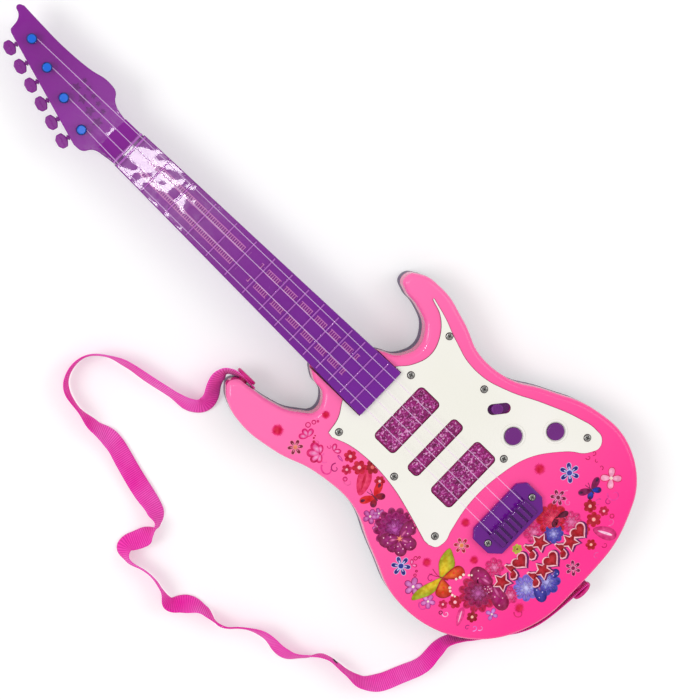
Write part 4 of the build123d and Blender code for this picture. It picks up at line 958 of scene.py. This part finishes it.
def small_butterfly(ink, x, y, span, turn, upper, lower, edge):
    """Two upper wings, two lower wings, a body and two feelers."""
    ink.level = 9
    for side in (-1, 1):
        for angle, share, wide, colours in ((26, 0.5, 0.3, upper), (-38, 0.34, 0.26, lower)):
            heading = turn + (angle if side > 0 else 180 - angle)
            ink.fill(petal(x, y, heading, span * share, span * wide), colours[0], colours[1],
                     (x, y))
            ink.fill(petal(x, y, heading, span * share * 0.3, span * wide * 0.4, span * share * 0.64),
                     edge)
            ink.level -= 2
    ink.level += 2
    ink.fill(petal(x, y + 0.14 * span, turn - 90, span * 0.3, span * 0.06), edge)
    feelers(ink, x, y + 0.1 * span, (turn + 60, turn + 120), span * 0.2, edge)


def star_outline(x, y, radius, count=5, depth=0.46):
    points = []
    for k in range(2 * count):
        r = radius * (depth if k % 2 else 1)
        angle = math.radians(90 + 180 * k / count)
        points.append((x + r * math.cos(angle), y + r * math.sin(angle)))
    return points


def note_outline(x, y, size):
    """A single quaver: a round head, a stem and a flag."""
    shape = [(-0.45, -0.62), (-0.12, -0.78), (0.22, -0.6), (0.3, -0.3), (0.3, 0.2), (0.62, -0.02),
             (0.6, 0.42), (0.28, 0.72), (0.2, 0.95), (-0.02, 0.95), (-0.02, -0.18), (-0.34, -0.22),
             (-0.52, -0.4)]
    return [(x + size * a, y + size * b) for a, b in shape]


def heart_outline(x, y, size):
    points = []
    for k in range(28):
        a = 2 * math.pi * k / 28
        across = 16 * math.sin(a) ** 3
        up = 13 * math.cos(a) - 5 * math.cos(2 * a) - 2 * math.cos(3 * a) - math.cos(4 * a)
        points.append((x + size * across / 17, y + size * (up + 2.5) / 17))
    return points


def title_ornament(ink):
    """Two rows of notes, stars and hearts in dark red with a pale outline and a purple shadow."""
    shapes = {"star": star_outline, "note": note_outline, "heart": heart_outline}
    rows = [(-37.4, -43, 11.8, ["star", "note", "heart", "note", "star"]),
            (-56.6, -22.5, 11.4, ["note", "star", "heart", "note", "star", "heart"])]
    for y, x0, pitch, kinds in rows:
        for n, kind in enumerate(kinds):
            x = x0 + n * pitch
            outline = shapes[kind](x, y, 7.2 if kind == "heart" else 7.8)
            ink.level = 17
            ink.fill([(a + 0.9, b - 0.9) for a, b in grown(outline, 2.0)], (104, 8, 96), hub=(x, y))
            ink.fill(grown(outline, 1.3), (255, 196, 204), hub=(x, y))
            ink.fill(outline, (176, 10, 30), (150, 4, 26), hub=(x, y))
            lit = [(x + (a - x) * 0.62, y + 0.6 + (b - y) * 0.62) for a, b in outline]
            ink.fill(lit, (196, 26, 44), (176, 10, 30), hub=(x, y))


def horn_flowers(ink):
    burst(ink, -82, 196, 5)
    burst(ink, -44.5, 175.5, 3.6)
    studded_flower(ink, -82, 175, 6.4)
    heart_petals(ink, -68.4, 173.4, 8, (14, 74, 128))
    ring(ink, -61, 180.4, 2)
    ring(ink, -56, 178.4, 1.6)
    ring(ink, -53, 176.4, 0.7)
    for x, y, r in ((-67.8, 166.8, 1.2), (-65.6, 169, 0.9), (-63.4, 169.6, 0.7)):
        ring(ink, x, y, r / 2, (196, 10, 70), r)
    heart_petals(ink, -71.4, 155.4, 12, (128, 82), (222, 20, 108))
    heart_petals(ink, -71.4, 155.4, 10.4, (172,), (204, 12, 90))
    heart_petals(ink, -71.4, 155.4, 8, (44, 214), (226, 24, 110))
    heart_petals(ink, -62, 149, 6.6, (310, 30), (220, 10, 110))
    curls(ink, (-71.5, 137.5, 4.4, 40, 0.9, (176, 10, 110)), (-76, 141, 7, 100, 0.6, (240, 60, 150)),
          (-72, 148, 6, 60, 0.5, (246, 90, 170)), (-67, 165, 3.4, 200, 0.7, (244, 90, 160)),
          (-61.4, 154, 2.2, 120, 0.8, (220, 20, 120)), (-72, 121, 4.6, 80, 0.8, (244, 90, 160)))
    leaf(ink, -63, 137, 82, 7, 3, (226, 60, 160), (196, 30, 130), (240, 120, 190))
    small_flower(ink, -55.4, 135.4, 5.6)
    small_flower(ink, -65.6, 129.6, 4.6, (222, 20, 80))
    small_flower(ink, -57, 123, 6.4, (214, 10, 52))
    small_flower(ink, -49, 115, 6.4, (176, 4, 30), (240, 120, 110))
    ring(ink, -72.4, 125, 1.7)
    leaf(ink, -74, 106, 28, 24, 15, (240, 70, 110), (226, 30, 90), (206, 16, 64))
    small_flower(ink, -53.4, 102, 4.8, (200, 8, 46))
    small_butterfly(ink, -66, 95.6, 27, -4, ((214, 12, 20), (226, 40, 40)), ((170, 6, 30), (120, 4, 50)),
                    (104, 4, 54))


def waist_flowers(ink):
    ghost_flower(ink, -80.6, 86.6, 6.6, 20, (184, 56, 152), (146, 4, 96))
    ghost_flower(ink, -73.6, 83, 4.8, 60, (176, 70, 160), (150, 8, 104))
    ghost_flower(ink, -83, 75.4, 4.6, 0, (206, 70, 160), (170, 10, 110))
    plum_rows = [(0.98, 13, (168, 6, 112), (134, 0, 78)), (0.76, 12, (182, 36, 140), (142, 0, 94)),
                 (0.5, 9, (196, 84, 180), (124, 0, 84))]
    layered_flower(ink, -73.6, 63.6, 18.4, plum_rows)
    ink.level = 12
    beads(ink, -72.4, 66, 4.8, 10, 1.25, ((232, 150, 214), (120, 6, 84)))
    ink.fill(circle(-72.4, 66, 2.6), (222, 130, 208), (150, 20, 120))
    lily(ink, -77, 54.6, ((182, 14, 13), (140, 18, 15), (2, 19, 14), (230, 15.5, 13),
                          (286, 16, 14)), 12, (176, 36, 142), (122, 0, 62))
    ink.fill(star_outline(-77, 54.6, 3.4, 6, 0.4), (250, 170, 110), (232, 110, 110))
    studded_flower(ink, -93, 37, 8.2, NAVY, (206, 206, 250), (40, 60, 160))
    heart_petals(ink, -86, 31, 5, (40, 300), (214, 30, 110))
    for x, y, r in ((-79.6, 32.4, 1.5), (-76.8, 30.6, 0.8), (-90.4, 22.4, 1.1), (-87, 24, 0.8)):
        ring(ink, x, y, r, (196, 6, 84), 0.8)
    burst(ink, -75.4, 22.8, 4)
    burst(ink, -28, 22.6, 4)
    burst(ink, -46, -6, 4)
    studded_flower(ink, -44.4, 11, 6.6, (176, 10, 50), (250, 170, 180), (246, 160, 90))
    ghost_flower(ink, -98.6, 16.6, 8, 30, (196, 84, 176), (150, 6, 86))
    ghost_flower(ink, -99, -2, 6.4, 10, (206, 90, 184), (176, 30, 130))
    curls(ink, (-104, -2, 5, 90, 0.8, (232, 60, 160)), (-83, 10, 4, 30, 0.7, (206, 20, 120)),
          (-85, 5, 3, 200, 0.8, (206, 20, 120)), (-96, -21, 3.4, 120, 0.9, (250, 180, 220)))
    lime_butterfly(ink)


def tail_flowers(ink):
    small_flower(ink, -92, -13.4, 4.2, (222, 12, 84))
    small_flower(ink, -83.4, -19.8, 5.8, (204, 8, 52))
    ring(ink, -98.4, -17, 1.4, (150, 6, 80))
    small_flower(ink, -82.4, -40, 5, (168, 4, 34), (250, 210, 180))
    leaf(ink, -97, -36, 28, 17, 7.6, (246, 90, 160), (232, 40, 130), (255, 190, 216))
    curls(ink, (-92, -43.6, 2.4, 0, 0.9, (176, 10, 120)), (-88, -48, 3, 200, 0.8, (236, 130, 220)),
          (-84, -52, 3, 180, 0.6, (246, 150, 214)), (-52, -68, 4.6, 120, 0.9, (226, 20, 110)))
    ghost_flower(ink, -69, -51, 5.6, 20, (186, 100, 200), (196, 40, 150), 4)
    wine_rows = [(1.0, 12, (224, 6, 100), (184, 0, 66)), (0.74, 10, (190, 26, 122), (144, 0, 66)),
                 (0.46, 8, (206, 104, 180), (124, 2, 60))]
    layered_flower(ink, -64, -29, 17, wine_rows)
    ink.level = 11
    beads(ink, -60.4, -30, 4.6, 9, 1.3, ((214, 130, 206), (112, 2, 66)))
    lily(ink, -50.6, -33, ((97, 23, 17), (252, 25, 17), (170, 9, 6), (208, 9, 6)), 11,
         (190, 26, 130), (132, 0, 62))
    rose_rows = [(1.0, 7, (250, 110, 170), (224, 20, 110)), (0.6, 6, (250, 150, 200), (214, 16, 96))]
    layered_flower(ink, -38.6, -23.6, 8.6, rose_rows, 4)
    layered_flower(ink, -46, -51, 8, rose_rows, 4)
    sky_rows = [(1.0, 8, (176, 170, 240), (110, 96, 206)), (0.6, 7, (206, 206, 250), (120, 116, 220))]
    layered_flower(ink, -32, -57, 11.6, sky_rows, 5)
    blue_rows = [(1.0, 8, (96, 110, 210), (50, 52, 160)), (0.62, 7, (190, 190, 246), (60, 60, 176))]
    layered_flower(ink, -16, -66, 12.4, blue_rows, 6)
    lily(ink, -21.4, -58, ((244, 21, 13),), 10, (84, 84, 190), (28, 30, 128), (206, 196, 240))
    lily(ink, -12, -64, ((340, 11, 9),), 10, (60, 70, 180), (16, 30, 120), (176, 176, 236))
    burst(ink, -48.6, -65, 4.4)
    studded_flower(ink, 8.4, -75, 6.6, (120, 6, 70), (250, 150, 190), (150, 10, 80))
    small_flower(ink, -13.4, -27, 4.6, (196, 206, 60), (120, 110, 40), 7)
    layered_flower(ink, 7, -27, 9.4, rose_rows, 4)
    red_rows = [(1.0, 8, (236, 20, 70), (200, 4, 40)), (0.62, 7, (250, 80, 110), (196, 4, 60))]
    layered_flower(ink, 26, -31, 14, red_rows, 5)
    layered_flower(ink, 36, -45, 9.6, rose_rows, 5)
    layered_flower(ink, 38, -57, 6.6, red_rows, 6)
    layered_flower(ink, 18, -41, 8.6, blue_rows, 7)
    ink.level = 11
    for turn in (200, 335):
        ink.fill(petal(31, -33, turn, 10, 6.4), (104, 4, 50), (70, 0, 40))


def edge_flowers(ink):
    burst(ink, 49.4, 8, 5)
    studded_flower(ink, 65, -13.4, 8.6, NAVY, (206, 206, 250), (60, 70, 170))
    studded_flower(ink, 43, -21.4, 6.8, (126, 10, 60), (246, 150, 196), (120, 10, 60))
    curls(ink, (46, -31, 3.4, 60, 0.9, (250, 120, 190)), (50, -24, 3, 10, 0.7, (250, 120, 190)),
          (86, -16, 2.4, 150, 0.8, (206, 8, 90)), (92, -17, 2.2, 200, 0.9, (206, 8, 90)),
          (89, -24, 2, 80, 0.6, (206, 8, 90)), (87.4, -30.4, 2.4, 250, 0.7, (196, 6, 90)),
          (71, -56.6, 3, 60, 1.0, (196, 20, 120)), (79, -56, 6.4, 120, 0.9, (246, 60, 160)),
          (64, -51, 4, 10, 0.7, (226, 60, 150)), (60, -70, 4, 200, 0.8, (250, 90, 170)),
          (30, -83, 3.6, 20, 0.7, (250, 80, 170)), (42, -81, 2.8, 160, 0.9, (220, 10, 110)))
    small_butterfly(ink, 68, -38.6, 25, -8, ((104, 0, 66), (150, 0, 92)), ((14, 66, 196), (16, 16, 110)),
                    (60, 4, 60))
    small_flower(ink, 57, -47.4, 6, (190, 6, 34), (255, 200, 190))
    small_flower(ink, 51, -58, 6.8, (206, 10, 44), (255, 180, 170))
    small_flower(ink, 62.4, -59.4, 4.6, (216, 10, 70))
    ring(ink, 64.2, -67.8, 1.7, (214, 10, 90))
    small_flower(ink, 33.8, -72, 5, (200, 10, 30), (255, 190, 170))
    leaf(ink, 44.6, -63.6, 296, 22, 14, (240, 80, 150), (206, 30, 110), (255, 206, 230))
    ghost_flower(ink, 87, -43.6, 9.4, 40, (250, 150, 190), (226, 30, 100), 4)


def make_print():
    ink = Ink()
    random.seed(5)
    horn_flowers(ink)
    waist_flowers(ink)
    tail_flowers(ink)
    edge_flowers(ink)
    title_ornament(ink)
    mesh = bpy.data.meshes.new("flower_print")
    mesh.from_pydata(ink.verts, [], ink.faces)
    layer = mesh.color_attributes.new("ink", "FLOAT_COLOR", "POINT")
    for target, colour in zip(layer.data, ink.colours):
        target.color = colour
    printed = bpy.data.objects.new("flower_print", mesh)
    bpy.context.scene.collection.objects.link(printed)
    mesh.materials.append(ink_material())
    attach(printed, "guitar")


def ink_material():
    """Gloss ink under lacquer: the colour of each shape, mottled by the fine dots of a screen."""
    shade = Shade("flower_ink", (0.8, 0.1, 0.3, 1), 0.2, Coat_Weight=0.12, Coat_Roughness=0.06,
                  Specular_IOR_Level=0.12)
    colour = shade.add("VertexColor", layer_name="ink").outputs["Color"]
    mottle = shade.noise(260, 4)
    darker = shade.add("MixRGB", 1.0, colour, (0.78, 0.6, 0.7, 1), blend_type="MULTIPLY")
    lighter = shade.mix(0.03, colour, (1.0, 0.72, 0.86, 1))
    shade.feed("Base Color", shade.mix(shade.ramp(mottle, 0.35, 0.65), darker.outputs[0], lighter))
    shade.moulded(0.2)
    return shade.mat


make_camera()
make_strap()
make_studio()
make_floor()
make_materials()
make_print()
